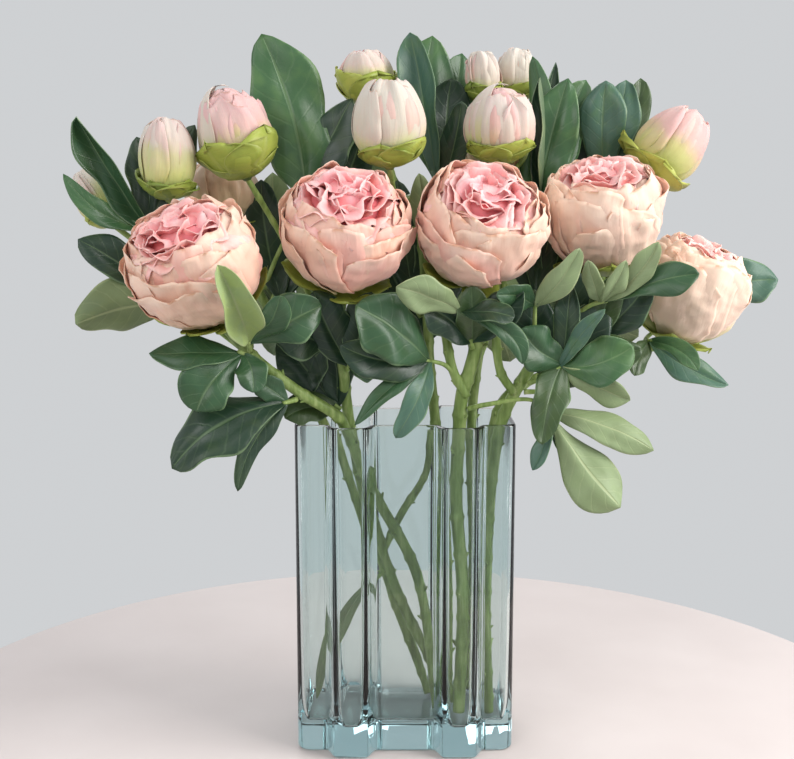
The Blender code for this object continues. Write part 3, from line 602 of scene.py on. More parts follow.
LEAVES = {
    "leaf_back_left_tall": Leaf(5, 34, [(-9.5, 1.3, 37.5), (-7.2, 0.6, 41.6)], [
        ((-10.7, 2, 53.6), 5.7, (0.6, 0.3, 0), (0.1, -1, 0.1), 0.52, BRIGHT, TOP, 0.20),
        ((-4, 1.6, 48.8), 4.1, (-0.3, 0.4, 0), (-0.3, -1, 0.2), 0.50, DARK)]),
    "leaf_back_middle_tall": Leaf(7, 36, [(1.9, 2.6, 39), (2.7, 2.6, 42.4)], [
        ((0.4, 2.4, 53.7), 3.7, (-0.2, -0.3, 0), (-0.4, -1, 0.1), 0.66, TEAL, TOP, 0.4, 0.5),
        ((4.2, 1.6, 48.6), 2.8, (0.3, 0, 0), (-0.4, -1, 0), 0.50, DARK),
        ((2.2, 5.6, 54), 4.4, (-0.4, 0.5, 0), (0.1, -1, 0), 0.66, BRIGHT),
        ((4.6, 6.9, 52.9), 3.6, (0.3, 0.6, 0), (0.2, -1, 0.1), 0.66, BRIGHT)]),
    "leaf_back_right_tall": Leaf(6, 35, [(8.6, 3.9, 37.5), (10.3, 2.4, 41.2)], [
        ((10.1, 2.2, 50.4), 2.2, (0.5, -0.2, 0), (-0.8, -0.6, 0), 0.50, DARK, TOP, 0.7, 0.8),
        ((9.8, 4.2, 52.2), 2.4, (0.9, 0.2, 0), (-0.5, -1, 0), 0.55, BRIGHT),
        ((12, 5.6, 52), 2.6, (-0.2, 0.4, 0), (0.4, -1, 0), 0.60, DARK, TOP, 0.5, 0.9),
        ((12.4, 3.2, 50.5), 4.2, (-0.3, -0.2, 0), (-0.2, -1, 0.1), 0.50, BRIGHT),
        ((14, 4.7, 50.5), 3.6, (-0.1, 0.2, 0), (0.1, -1, 0.1), 0.60, BRIGHT)]),
    "leaf_right_tall": Leaf(4, 34, [(14.2, 4.1, 37), (15.4, 5.3, 40.5), (15.6, 4.7, 43)], [
        ((15.3, 3.4, 50.3), 3.6, (-0.1, -0.2, 0), (-0.2, -1, 0.1), 0.60, TEAL),
        ((17.2, 4.8, 50.5), 3.6, (0.3, 0.2, 0), (0.1, -1, 0.1), 0.58, TEAL),
        ((18.5, 6.2, 50.8), 2.6, (0.7, 0.4, 0), (0.3, -1, 0), 0.60, OLIVE),
        ((20.9, 5.6, 42.2), 2.4, (-0.2, 0.2, 0.4), (0.1, -1, 0.3), 0.55, TEAL)]),
    "leaf_left_high": Leaf(0, 30.9, [(-13.4, -4.4, 33), (-17.2, -3.4, 36.4), (-18.7, -2.4, 39.5)], [
        ((-23.1, -4.2, 47), 3.6, (-0.5, -0.3, 0.1), (-0.3, -1, 0.2), 0.45, MID, TOP, 0.7, 0.6),
        ((-24, -4.8, 43), 1.6, (-0.2, -0.9, -0.8), (0.2, -1, 0.5), 0.50, BRIGHT),
        ((-19.6, -1, 45.8), 2.8, (0.2, 0.3, 0), (0.1, -1, 0.1), 0.55, DARK),
        ((-15.2, -1.6, 46.6), 2.5, (-0.4, 0.4, 0), (-0.1, -1, 0.1), 0.55, DARK)]),
    "leaf_left_middle": Leaf(0, 29.4, [(-13, -4, 31.5), (-16.6, -3.6, 34.2)], [
        ((-23.1, -5, 38.4), 2.9, (-0.2, 0, 0.3), (0.1, -1, 0.6), 0.62, DARK),
        ((-23, -6.6, 32.6), 4.5, (0, 0.2, 0.5), (0.1, -1, -0.3), 0.58, OLIVE, UNDER, -0.3)]),
    "leaf_left_low": Leaf(0, 29.7, [(-11.5, -8.2, 30.9)], [
        ((-17.3, -9.7, 31), 2.9, (0.1, -0.2, 0), (0.1, -0.8, 0.9), 0.55, MID),
        ((-14.1, -10.2, 27), 3.7, (-0.5, -0.6, 0.1), (0.2, -1, 0.3), 0.62, MID),
        ((-10.4, -9.3, 28.2), 2.4, (0.3, -0.3, 0.2), (0.2, -1, 0.2), 0.60, MID)]),
    "leaf_left_rim": Leaf(0, 27.4, [(-8.6, -7.2, 27.1)], [
        ((-16.2, -9.5, 23), 4.6, (-0.3, -0.8, 0.7), (-0.1, -0.9, 0.6), 0.58, DARK, TOP, 0.15),
        ((-11.7, -8.6, 21.2), 1.7, (-0.4, -0.3, 0.3), (0.5, -1, 0), 0.42, DARK),
        ((-10.3, -7.9, 28.9), 1.9, (-0.1, 0, 0.1), (0.1, -1, 0.2), 0.55, MID)]),
    "leaf_under_first_bloom": Leaf(0, 30.6, [(-10.7, -8.9, 31.7)], [
        ((-11.9, -14, 37), 3.7, (0.5, -0.9, -0.3), (0.2, -1, 0.1), 0.60, FRESH, UNDER, 0.5, 0.8),
        ((-8.2, -11.4, 34.8), 2.4, (0.3, -0.2, 0), (0.6, -1, 0), 0.50, MID),
        ((-5.8, -7.9, 34), 3.3, (0.2, -0.6, 0.3), (0.1, -1, 0.1), 0.62, MID)]),
    "leaf_centre_left": Leaf(1, 30, [(-5.7, -4.7, 31.2)], [
        ((-9.2, -7.2, 32.7), 3.4, (0, -0.5, -0.1), (0, -1, 0.3), 0.55, DARK),
        ((-7.8, -3.4, 27), 3.2, (-0.3, 0.5, 0.2), (-0.2, -1, 0.2), 0.55, DARK)]),
    "leaf_centre_front": Leaf(2, 27.6, [(2.9, -4.1, 29.4), (1.4, -5, 29.9)], [
        ((-3.4, -8.6, 34.1), 4.7, (0.2, -0.8, 0.2), (0.1, -1, 0.4), 0.55, MID, TOP, 0.15),
        ((-4.5, -8, 31.3), 3, (-0.1, -0.4, -0.5), (0, -1, 0.2), 0.55, DARK),
        ((-3.6, -7.3, 25.6), 1.4, (-0.1, -0.5, 0.4), (-0.3, -1, 0.3), 0.45, MID),
        ((-0.7, -6.9, 24.5), 2, (0.2, -0.8, 0.3), (0.2, -1, 0.2), 0.60, TEAL)]),
    "leaf_under_third_bloom": Leaf(2, 31, [(4.6, -4.6, 32.4), (3.7, -6, 33.6)], [
        ((-0.6, -9.6, 35.3), 2.7, (0.2, -0.3, 0.2), (0, -1, -0.4), 0.60, MID, UNDER),
        ((7.5, -7.7, 33.2), 2.1, (0, -0.5, 0.2), (0, -1, 0.8), 0.60, DARK),
        ((8.2, -6.5, 29.8), 1.5, (1.1, -0.5, 0.6), (0.1, -1, 0.3), 0.55, MID)]),
    "leaf_between_blooms": Leaf(7, 34, [(1.9, -0.2, 37)], [
        ((1, -0.6, 43.2), 2, (0, 0, 0), (0.1, -1, 0), 0.58, OLIVE, UNDER),
        ((2.6, 0.4, 42), 1.7, (0.2, 0, 0), (0.2, -1, 0), 0.55, OLIVE)]),
    "leaf_centre_right": Leaf(4, 29.4, [(9.3, -4.2, 34)], [
        ((6.4, -7.2, 34.6), 2, (0, -0.2, 0.3), (0.1, -1, -0.3), 0.50, MID),
        ((12, -6.8, 37.9), 2.1, (0.2, -0.5, -0.2), (0, -1, -0.3), 0.55, MID, UNDER)]),
    "leaf_right_cluster": Leaf(4, 27.6, [(10.3, -3.9, 28.6), (11.7, -3.6, 29.6)], [
        ((8.2, -5.4, 32.2), 3.2, (-0.2, -0.4, -0.1), (-0.1, -1, 0.3), 0.55, MID),
        ((11.8, -4.2, 35.3), 2.2, (-0.1, -0.3, 0), (-0.3, -1, 0.1), 0.50, DARK),
        ((9.7, -6.2, 24), 2.7, (-0.4, -0.5, 0.1), (-0.1, -1, 0.2), 0.42, OLIVE),
        ((16.3, -4.2, 26.9), 2.3, (0, -0.3, -0.3), (0.1, -0.9, -0.5), 0.60, MID, UNDER),
        ((16.3, -4.8, 30.9), 3.3, (0, -0.3, -0.4), (0.1, -1, 0.3), 0.62, BRIGHT),
        ((14, -5.8, 33.6), 1.2, (-0.1, -0.3, 0), (-0.5, -1, 0.1), 0.50, TEAL)]),
    "leaf_under_fourth_bloom": Leaf(4, 32, [(13.4, -2.8, 33.6), (14.7, -3, 34)], [
        ((17.8, -4.9, 38.3), 1.8, (0.4, -0.5, -0.2), (-0.4, -1, 0.1), 0.58, MID, UNDER),
        ((20.8, -4.8, 36), 2.4, (0.2, -0.6, 0.3), (0, -1, 0.5), 0.62, MID),
        ((15.5, -5.4, 37), 1.5, (0, -0.5, -0.2), (0.3, -1, -0.2), 0.55, MID, UNDER),
        ((12.8, -5.4, 37), 1.5, (-0.2, -0.5, -0.2), (-0.4, -1, -0.2), 0.55, MID, UNDER)]),
    "leaf_right_low": Leaf(3, 29.2, [(18, 2.4, 30.2), (19, 1.4, 30.7)], [
        ((24.4, -0.6, 27.5), 2.4, (-0.1, -0.3, -0.3), (0.1, -1, 0.7), 0.52, TEAL),
        ((17.3, -0.6, 28.2), 1.8, (-0.2, -0.2, 0), (0.2, -1, 0), 0.52, OLIVE),
        ((21.8, -1.6, 28.7), 1.6, (0.3, -0.3, 0.5), (0.2, -1, 0.2), 0.55, BRIGHT)]),
    "leaf_far_right": Leaf(3, 29.6, [(20.4, 8, 30.6), (25.3, 9, 33.5)], [
        ((31.1, 9.6, 34.9), 3.9, (0, 0.3, 0.4), (0.1, -1, 0.4), 0.58, TEAL)]),
    "leaf_right_hanging": Leaf(2, 25.9, [(5.9, -3.9, 26.5), (9, -4.1, 26.9), (10.8, -3.9, 25.7)], [
        ((17.9, -5.6, 23.5), 2.9, (0.1, -0.4, 0.5), (0, -1, 0.6), 0.60, MID, UNDER, -0.2),
        ((15.5, -6.2, 19.4), 4.3, (-0.5, -0.6, -0.1), (0, -1, 0.4), 0.72, MID, UNDER, -0.2),
        ((9.2, -5.2, 21.9), 1.4, (0.2, -0.3, 0.1), (-0.6, -0.8, 0), 0.60, TEAL),
        ((11.9, -4.6, 22), 1, (-0.1, 0, 0), (0.5, -0.8, 0), 0.55, MID)]),
    "leaf_in_vase": Leaf(1, 13.5, [(-2.6, -1.9, 12.5)], [
        ((-6.6, -2.4, 3.6), 1.3, (-0.9, 0, 0.2), (-0.6, -1, 0), 0.50, OLIVE, UNDER)]),
    "leaf_rear_left": Leaf(5, 27.5, [(-8.2, 3.6, 30.5), (-8.2, 4.8, 33)], [
        ((-14.6, 8.6, 35.6), 4.2, (-0.2, 0.3, 0.5), (-0.2, 1, 0.6), 0.55, MID),
        ((-6, 9.2, 38.6), 4.4, (0.2, 0.6, 0), (0.1, 1, 0.5), 0.55, BRIGHT),
        ((-10.8, 8.6, 28.6), 3.8, (-0.2, 0.8, 0.4), (-0.2, 1, 0.5), 0.55, DARK)]),
    "leaf_rear_right": Leaf(6, 28.5, [(6.6, 5.2, 30.4), (6.8, 6.4, 32.4)], [
        ((1.4, 9.4, 36.8), 4.2, (-0.2, 0.6, 0.2), (0, 1, 0.5), 0.55, MID),
        ((13.6, 9.6, 35.6), 4.3, (0.2, 0.5, 0.5), (0.2, 1, 0.6), 0.55, BRIGHT),
        ((9, 10.2, 28), 3.9, (0.2, 0.9, 0.3), (0.2, 1, 0.4), 0.55, OLIVE)]),
}


def add_sheet(cage, place, rows, columns, slot=0, **amounts):
    """A thin sheet: u runs across from -1 to 1 and v from root to tip, with constant amounts on it."""
    uv_layer = cage.loops.layers.uv.verify()
    layers = {name: cage.verts.layers.float.get(name) or cage.verts.layers.float.new(name)
              for name in amounts}
    grid = []
    for row in range(rows + 1):
        v = row / rows
        line = []
        for column in range(columns + 1):
            u = column / columns * 2.0 - 1.0
            vertex = cage.verts.new(place(u, v))
            for name, amount in amounts.items():
                vertex[layers[name]] = amount
            line.append((vertex, ((u + 1.0) / 2, v)))
        grid.append(line)
    for low, high in zip(grid, grid[1:]):
        for column in range(columns):
            corners = (low[column], low[column + 1], high[column + 1], high[column])
            face = cage.faces.new([vertex for vertex, _ in corners])
            face.material_index = slot
            face.smooth = True
            for loop, (_, uv) in zip(face.loops, corners):
                loop[uv_layer].uv = uv


def finish_sheets(name, cage, thickness, finishes, back_offset=0):
    """Turn the sheets of a cage into one object and give them their thickness.

    The back of a sheet takes the finish that stands back_offset places after its front's.
    """
    piece = piece_from(cage, name)
    for finish in finishes:
        piece.data.materials.append(finish)
    bpy.ops.object.select_all(action="DESELECT")
    piece.select_set(True)
    bpy.context.view_layer.objects.active = piece
    solid = piece.modifiers.new("thickness", "SOLIDIFY")
    solid.thickness = thickness
    solid.offset = 0.0
    solid.material_offset = back_offset
    solid.material_offset_rim = 0
    bpy.ops.object.modifier_apply(modifier=solid.name)
    return piece


def join_tube(piece, route, radius_at, sides, slot=0):
    """Add a closed tube to the mesh of a piece."""
    cage = bmesh.new()
    add_tube(cage, route, radius_at, sides, slot)
    cage.from_mesh(piece.data)
    cage.to_mesh(piece.data)
    cage.free()


def blade_surface(root, blade, seed):
    """The place of each point of a blade: bent along its midrib, folded, twisted and wavy-edged."""
    tip = to_metres(blade.tip)
    middle = (root + tip) / 2 + to_metres(blade.bow) * 2
    face = Vector(blade.face).normalized()
    widest_power = math.log(0.5) / math.log(blade.widest)
    half = blade.width * CM / 2
    length = (tip - root).length
    rng = random.Random(seed)
    waves = [(rng.uniform(2.2, 3.6), rng.uniform(0.0, math.tau)) for _ in range(2)]
    wave_height = min(0.15 * half, EDGE_WAVE)
    sway = rng.uniform(-0.035, 0.035) * length
    droop = rng.uniform(-0.05, 0.02)

    def place(u, v):
        spot = root * (1 - v) ** 2 + middle * 2 * v * (1 - v) + tip * v * v
        along = ((middle - root) * (1 - v) + (tip - middle) * v).normalized()
        side = along.cross(face).normalized()
        lift = side.cross(along)
        turn = Matrix.Rotation(math.radians(blade.twist) * (v - 0.3), 3, along)
        side = turn @ side
        lift = turn @ lift
        swell = math.sin(math.pi * min(v ** widest_power, 1.0)) ** 0.62 if 0.0 < v < 1.0 else 0.0
        ragged = noise.noise(Vector((v * 3.4, seed * 1.7, 6.0 if u > 0 else 0.0)))
        width = max(half * swell * (1.0 + EDGE_RAGGEDNESS * ragged), BLADE_ROOT / 2 * (1 - v) ** 2, 0.00015)
        lobes, phase = waves[0] if u > 0 else waves[1]
        edge = abs(u)
        fold = math.atan(blade.fold)
        bend = blade.roll * edge + 0.0001
        reach = edge * width * math.sin(bend) / bend
        lifted = edge * width * (1.0 - math.cos(bend)) / bend
        across = math.copysign(reach * math.cos(fold) - lifted * math.sin(fold), u)
        rise = reach * math.sin(fold) + lifted * math.cos(fold)
        rise += wave_height * edge ** 1.5 * math.sin(lobes * math.pi * v + phase) * min(1.0, 4 * swell)
        rise += half * SURFACE_WAVE * swell * noise.noise(Vector((u * 1.6, v * 3.0, seed * 2.3)))
        rise -= MIDRIB_DEPTH * math.exp(-(u * width / MIDRIB_WIDTH) ** 2) * swell
        shift = sway * math.sin(math.pi * v) * min(1.0, v * 3)
        tip_lift = (blade.curl + droop) * length * v ** 3
        return spot + side * (across + shift) + lift * (rise + tip_lift)

    return place


def leaf_tones(tree, tone, stops):
    """The colour scale of the blades, from dark through olive, mid, bright and fresh to teal."""
    return add_ramp(tree, tone, [(index / 5, colour) for index, colour in enumerate(stops)])


def read_uv(tree):
    """The piece's own UV map, and its two parts: across and along a sheet."""
    uv = tree.nodes.new("ShaderNodeUVMap").outputs["UV"]
    split = tree.nodes.new("ShaderNodeSeparateXYZ")
    tree.links.new(uv, split.inputs["Vector"])
    return uv, split.outputs["X"], split.outputs["Y"]


def read_amount(tree, name):
    """An amount that stands on a piece's points under a name."""
    return add_node(tree, "ShaderNodeAttribute", {"attribute_name": name}).outputs["Fac"]


def pressed_fabric(name, stops, vein_colour, edge_colour, roughness, vein_strength):
    """A printed leaf face: forking veins from the midrib, blotches, a light edge and a soft gloss."""
    finish, tree, shader = new_finish(name, roughness, Specular_IOR_Level=0.45)
    _, side, along = read_uv(tree)
    centred = add_maths(tree, "SUBTRACT", times(tree, side, 2.0), 1.0)
    across = add_maths(tree, "ABSOLUTE", centred, 0.0)
    tone = read_amount(tree, "tone")
    place = object_coordinates(tree)
    blotch = add_noise(tree, place, 55.0, 3.0)
    shifted = plus(tree, tone, add_range(tree, blotch, 0.3, 0.7, -0.07, 0.07))
    colour = leaf_tones(tree, shifted, stops)
    # The side veins leave the midrib at a slant: their pattern runs back as it goes out to the edge.
    slant = add_maths(tree, "SUBTRACT", along, times(tree, across, 0.20))
    wobble = add_range(tree, add_noise(tree, place, 120.0, 2.0), 0.3, 0.7, -0.007, 0.007)
    run = times(tree, plus(tree, slant, wobble), VEIN_RATE)
    vein = add_range(tree, add_maths(tree, "SINE", run, 0.0), 0.86, 1.0)
    midrib = add_range(tree, across, 0.075, 0.015)
    lines = add_maths(tree, "MAXIMUM", times(tree, vein, 0.22), midrib)
    colour = add_mix(tree, times(tree, lines, vein_strength), colour, vein_colour)
    uneven = plus(tree, across, add_range(tree, blotch, 0.3, 0.7, -0.05, 0.05))
    rim = add_range(tree, uneven, 0.93, 1.0)
    colour = add_mix(tree, times(tree, rim, 0.55), colour, edge_colour)
    fibre = add_noise(tree, place, 700.0, 2.0)
    tree.links.new(colour, shader.inputs["Base Color"])
    rough = add_range(tree, blotch, 0.3, 0.75, roughness - 0.07, roughness + 0.10)
    tree.links.new(rough, shader.inputs["Roughness"])
    height = plus(tree, times(tree, lines, -0.8), times(tree, fibre, 0.12))
    add_bump(tree, shader, plus(tree, height, blotch), 0.0008, 0.5)
    return finish


# The darkest stop of each scale is partly painted shade, for blades that lie in shadow.
upper_face = pressed_fabric(
    "glossy upper leaf",
    [(0.014, 0.038, 0.020), (0.040, 0.072, 0.020), (0.030, 0.080, 0.034),
     (0.045, 0.112, 0.042), (0.095, 0.190, 0.050), (0.060, 0.130, 0.090)],
    (0.17, 0.26, 0.12), (0.20, 0.30, 0.15), 0.38, 0.35)
under_face = pressed_fabric(
    "pale under leaf",
    [(0.100, 0.150, 0.080), (0.160, 0.210, 0.090), (0.230, 0.300, 0.150),
     (0.250, 0.340, 0.150), (0.320, 0.400, 0.150), (0.220, 0.310, 0.210)],
    (0.40, 0.45, 0.24), (0.38, 0.43, 0.22), 0.55, 0.50)

# Darker leaves that fill the bunch behind and below the blooms. Their dark tone is partly painted shade: they
# stand in the gaps where the bunch lies in shadow.
LEAVES.update({
    "leaf_shade_left": Leaf(5, 30, [(-9.4, 2.6, 32.5), (-9.5, 1.8, 33.9)], [
        ((-10.9, 1.9, 42.8), 3.5, (-0.3, 0.3, 0), (0.1, -1, 0.1), 0.55, DARK),
        ((-8.7, 2.5, 41.4), 3.4, (0.1, 0.4, 0), (0, -1, 0.1), 0.55, DARK),
        ((-6.3, 3.4, 42.6), 3.2, (0.3, 0.4, 0), (-0.1, -1, 0.1), 0.55, DARK)]),
    "leaf_shade_centre_left": Leaf(1, 25.5, [(-5.2, -3.2, 26.4)], [
        ((-9, -3.6, 31.4), 3.4, (-0.3, -0.2, 0.3), (0, -1, 0.2), 0.55, DARK),
        ((-6.2, -3, 33.2), 3.2, (0.2, -0.2, 0), (0, -1, 0.1), 0.55, DARK),
        ((-8.6, -5.6, 25.8), 2.6, (-0.2, -0.3, 0.5), (0, -1, 0.4), 0.55, OLIVE)]),
    "leaf_shade_middle": Leaf(7, 31.5, [(0.9, 1.9, 33), (0.7, 2.2, 33.9)], [
        ((-0.6, 2.6, 42.8), 3.2, (-0.2, 0.3, 0), (0, -1, 0.1), 0.55, DARK),
        ((2.6, 3.1, 41.8), 3, (0.3, 0.3, 0), (0.1, -1, 0.1), 0.55, DARK)]),
    "leaf_shade_right_middle": Leaf(6, 30, [(8.6, 3.2, 32.4), (10.4, 2.8, 33.8)], [
        ((11.4, 3, 43.4), 3.2, (0.2, 0.3, 0), (0, -1, 0.1), 0.55, DARK),
        ((9.1, 2.5, 41.2), 2.8, (-0.3, 0.3, 0), (-0.1, -1, 0.1), 0.55, DARK),
        ((13.7, 3.8, 42.2), 2.8, (0.3, 0.3, 0), (0.2, -1, 0.1), 0.55, OLIVE)]),
    "leaf_shade_under_third": Leaf(2, 30, [(4.7, -4.2, 31.3)], [
        ((8.3, -6, 34.8), 2.8, (0, -0.2, 0.3), (0, -1, 0.4), 0.55, DARK),
        ((1, -6.2, 34), 3, (0, -0.3, 0.3), (0, -1, 0.4), 0.55, DARK),
        ((4.6, -6.4, 35.2), 2.8, (0.1, -0.4, 0), (0, -1, 0.5), 0.55, OLIVE)]),
    "leaf_shade_right": Leaf(4, 27.2, [(10.4, -2.4, 27.3), (11.4, -2.2, 27.8)], [
        ((9.3, -3.3, 34.8), 3.2, (-0.4, -0.2, 0), (-0.1, -1, 0.1), 0.55, DARK),
        ((14.6, -2.5, 34.2), 3.2, (0.2, -0.2, 0.2), (0.1, -1, 0.2), 0.55, DARK),
        ((17.4, -2.6, 30.4), 3.2, (0.1, -0.3, 0.5), (0.1, -1, 0.3), 0.55, OLIVE),
        ((13.2, -1.2, 35.2), 2.8, (0, 0.3, 0), (0, -1, 0), 0.55, DARK)]),
    "leaf_shade_under_fourth": Leaf(4, 30.5, [(14.4, -1.2, 31)], [
        ((11.8, -2.6, 36.6), 2.8, (-0.3, -0.3, 0), (-0.1, -1, 0.2), 0.55, DARK),
        ((17.8, -2.4, 35.4), 3, (0.3, -0.3, 0.2), (0.1, -1, 0.2), 0.55, DARK),
        ((15, -3.2, 35.8), 2.4, (0, -0.4, 0), (0, -1, 0.3), 0.55, OLIVE)]),
    "leaf_shade_middle_left": Leaf(1, 28.4, [(-4, -4.6, 29.6)], [
        ((-6.4, -6.2, 34.9), 3.4, (-0.2, -0.3, 0.2), (0, -1, 0.3), 0.58, DARK),
        ((-2.4, -5.6, 34.8), 3, (0.2, -0.3, 0.2), (0.1, -1, 0.3), 0.58, DARK),
        ((-1.2, -6.2, 29.4), 2.6, (0, -0.4, 0.4), (0.1, -1, 0.3), 0.55, MID)]),
    "leaf_shade_far_middle": Leaf(7, 28.6, [(1.4, 2.6, 30.6)], [
        ((-1.8, 3.4, 37.4), 3.4, (-0.2, 0.3, 0), (0, -1, 0.1), 0.56, DARK),
        ((3.8, 3.6, 37.8), 3.4, (0.2, 0.3, 0), (0, -1, 0.1), 0.56, DARK),
        ((-3.8, 2.6, 33), 3, (0, 0.2, 0.3), (0, -1, 0.2), 0.56, OLIVE)]),
    "leaf_shade_back_right": Leaf(6, 33, [(8.6, 4.8, 36.6), (11.4, 5.2, 39.6)], [
        ((9.4, 5.6, 48.6), 3.8, (-0.3, 0.3, 0), (0, -1, 0.1), 0.62, MID),
        ((13.4, 6.2, 49.2), 4, (0.2, 0.3, 0), (0.1, -1, 0.1), 0.62, DARK),
        ((16.6, 6.6, 46.4), 3.6, (0.4, 0.3, 0), (0.2, -1, 0.1), 0.60, OLIVE)]),
    "leaf_shade_back_left": Leaf(5, 33, [(-8.8, 2.8, 36.6), (-6.6, 3.2, 39.6)], [
        ((-6.8, 3.6, 47.4), 3.4, (-0.3, 0.3, 0), (0, -1, 0.1), 0.62, DARK),
        ((-3.4, 3.6, 46), 3.4, (0.2, 0.3, 0), (0.1, -1, 0.1), 0.62, DARK)]),
    "leaf_shade_top": Leaf(7, 38, [(2.8, 2.6, 41), (3.6, 3.6, 43.6)], [
        ((3.6, 4.4, 50.6), 3.8, (-0.1, 0.2, 0), (0.1, -1, 0.1), 0.60, DARK)]),
    "leaf_shade_rear_left": Leaf(5, 29.5, [(-9.8, 4, 33)], [
        ((-17.5, 6.5, 40), 3.8, (0, 0.4, 0.3), (-0.2, 1, 0.4), 0.55, DARK),
        ((-10.5, 7, 43.5), 4, (0, 0.5, 0), (0, 1, 0.3), 0.55, MID),
        ((-18.2, 4.6, 33.6), 3.4, (0.2, 0.2, 0.5), (-0.4, 1, 0.5), 0.55, OLIVE)]),
    "leaf_shade_rear_middle": Leaf(7, 33, [(1.2, 4, 35)], [
        ((-2.6, 6.8, 44.5), 4, (0, 0.3, 0), (0, 1, 0.2), 0.55, MID),
        ((4.4, 7.8, 43.2), 3.8, (0.2, 0.4, 0), (0.1, 1, 0.2), 0.55, OLIVE),
        ((-5.8, 7.6, 40.4), 3.4, (0, 0.4, 0.3), (-0.2, 1, 0.4), 0.55, DARK)]),
    "leaf_shade_rear_right": Leaf(3, 28.4, [(13.4, 5, 31.5)], [
        ((10.4, 8.8, 40.5), 4, (0, 0.4, 0), (0, 1, 0.3), 0.55, DARK),
        ((17.6, 8.8, 39.8), 4, (0.2, 0.4, 0), (0.2, 1, 0.3), 0.55, MID),
        ((19.4, 8.8, 30.2), 3.4, (0.1, 0.5, 0.4), (0.2, 1, 0.5), 0.55, OLIVE)]),
})

for index, (name, leaf) in enumerate(LEAVES.items()):
    last = to_metres(leaf.route[-1])
    points = branch_points(leaf.stem, leaf.height, leaf.route, last)
    route = even_route(points)
    coarse = smooth_route(points)
    along = (coarse[-1] - coarse[-2]).normalized()
    cage = bmesh.new()
    for number, row in enumerate(leaf.blades):
        blade = Blade(*row)
        root = last - along * (BLADE_OVERLAP + number * BLADE_SPACING)
        add_sheet(cage, blade_surface(root, blade, index * 10 + number), BLADE_ROWS, BLADE_COLUMNS,
                  blade.side, tone=blade.tone)
    blades = finish_sheets("compound_" + name, cage, BLADE_THICKNESS,
                           [upper_face, under_face, upper_face, stalk_green], 1)
    join_tube(blades, route, lambda place: PETIOLE_RADIUS * (1.25 - 0.45 * place / len(route)), 10, 3)
    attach(blades, "root")
    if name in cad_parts:
        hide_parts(name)

# ---- Full blooms -------------------------------------------------------------------------------------
# Five globe-shaped peonies of crinkled silk. Broad peach guard petals wrap the outside like a cabbage,
# and ruffled pink petals crowd the open top; a green cup with sepals holds them below.
PETAL_THICKNESS = 0.00035
CALYX_THICKNESS = 0.0007
CALYX_SEPALS = 5
LIME = (0.50, 0.54, 0.14)
CREAM = (0.88, 0.70, 0.57)
Bloom = namedtuple("Bloom", "centre facing radius opening blush pale")
# A bloom's pale share lightens its silk towards cream and rises towards the right of the bunch. It is partly
# the blooms' own paler colour and partly painted light where the window lamp falls.
BLOOMS = [
    Bloom((-14.3, -9.0, 37.0), (-0.25, -0.52, 0.82), 4.60, 50, 1.00, 0.0),
    Bloom((-4.1, -6.0, 39.3), (0.05, -0.60, 0.80), 4.60, 52, 1.10, 0.0),
    Bloom((5.35, -4.5, 39.5), (0.12, -0.68, 0.72), 4.60, 50, 1.00, 0.1),
    Bloom((14.6, -0.5, 40.5), (-0.08, -0.38, 0.92), 4.60, 47, 0.80, 0.3),
    Bloom((22.6, 4.3, 34.6), (0.28, -0.25, 0.93), 4.50, 42, 0.60, 0.6),
    Bloom((-14.0, 3.0, 41.8), (-0.10, 0.20, 0.97), 2.95, 10, 0.60, 0.0),
    Bloom((8.1, 7.8, 45.5), (0.10, 0.15, 0.98), 3.50, 12, 0.60, 0.0),
]
FULL_BLOOMS = 5
# The opening, in degrees, that the heart's rings are given for; a narrower bloom's rings are smaller.
HEART_OPENING = 50
CUSHION_SHARE = 0.73
CUSHION_UNDERLAP = 14
# How often a guard petal is flushed deeper, and by how much.
FLUSHED_SHARE = 0.22
FLUSH = 0.7
# Rows and columns of each kind of sheet.
GUARD_GRID = (34, 34)
HEART_GRID = (14, 20)
CUSHION_GRID = (12, 36)
CALYX_GRID = (14, 8)

# Rings of guard petals, outside in: how many, where they start, how far short of the opening they end
# (degrees), how much that varies, their width and distance out as shares of the bloom's radius, and how
# far their lips turn out.
GUARD_RINGS = [
    (3, 176, 24, 12, 1.90, 1.012, 0.050),
    (4, 176, 12, 8, 2.00, 0.990, 0.060),
    (4, 176, 3, 6, 1.85, 0.968, 0.040),
    (5, 174, -3, 4, 1.60, 0.945, 0.020),
]
# Rings of heart petals: how many, their distance out and width as shares of the bloom's radius, and how
# far they may turn on edge (degrees).
HEART_RINGS = [
    (8, 0.98, 1.10, 12), (7, 0.90, 1.05, 25), (7, 0.74, 0.90, 45), (6, 0.57, 0.74, 60),
    (5, 0.38, 0.60, 75), (4, 0.19, 0.48, 85),
]


def swell(direction, seed):
    """How a bloom's crumpled outline swells and sinks along a direction from its middle."""
    broad = noise.noise(direction * 1.5 + Vector((seed, 0.0, 0.0)))
    fold = abs(noise.noise(direction * 2.6 + Vector((0.0, seed, 0.0))))
    small = abs(noise.noise(direction * 5.5 + Vector((0.0, 0.0, seed))))
    return 0.965 + 0.050 * broad + 0.075 * (fold - 0.22) - 0.045 * small


def around(azimuth, polar):
    """The direction at an angle round the flower's axis and an angle down from it."""
    return Vector((math.sin(polar) * math.cos(azimuth), math.sin(polar) * math.sin(azimuth), math.cos(polar)))


def placed(surface, centre, facing):
    """Stand a surface made about +Z on a centre, with its axis facing a given way."""
    turn = Vector(facing).to_track_quat("Z", "Y")
    return lambda u, v: centre + turn @ surface(u, v)


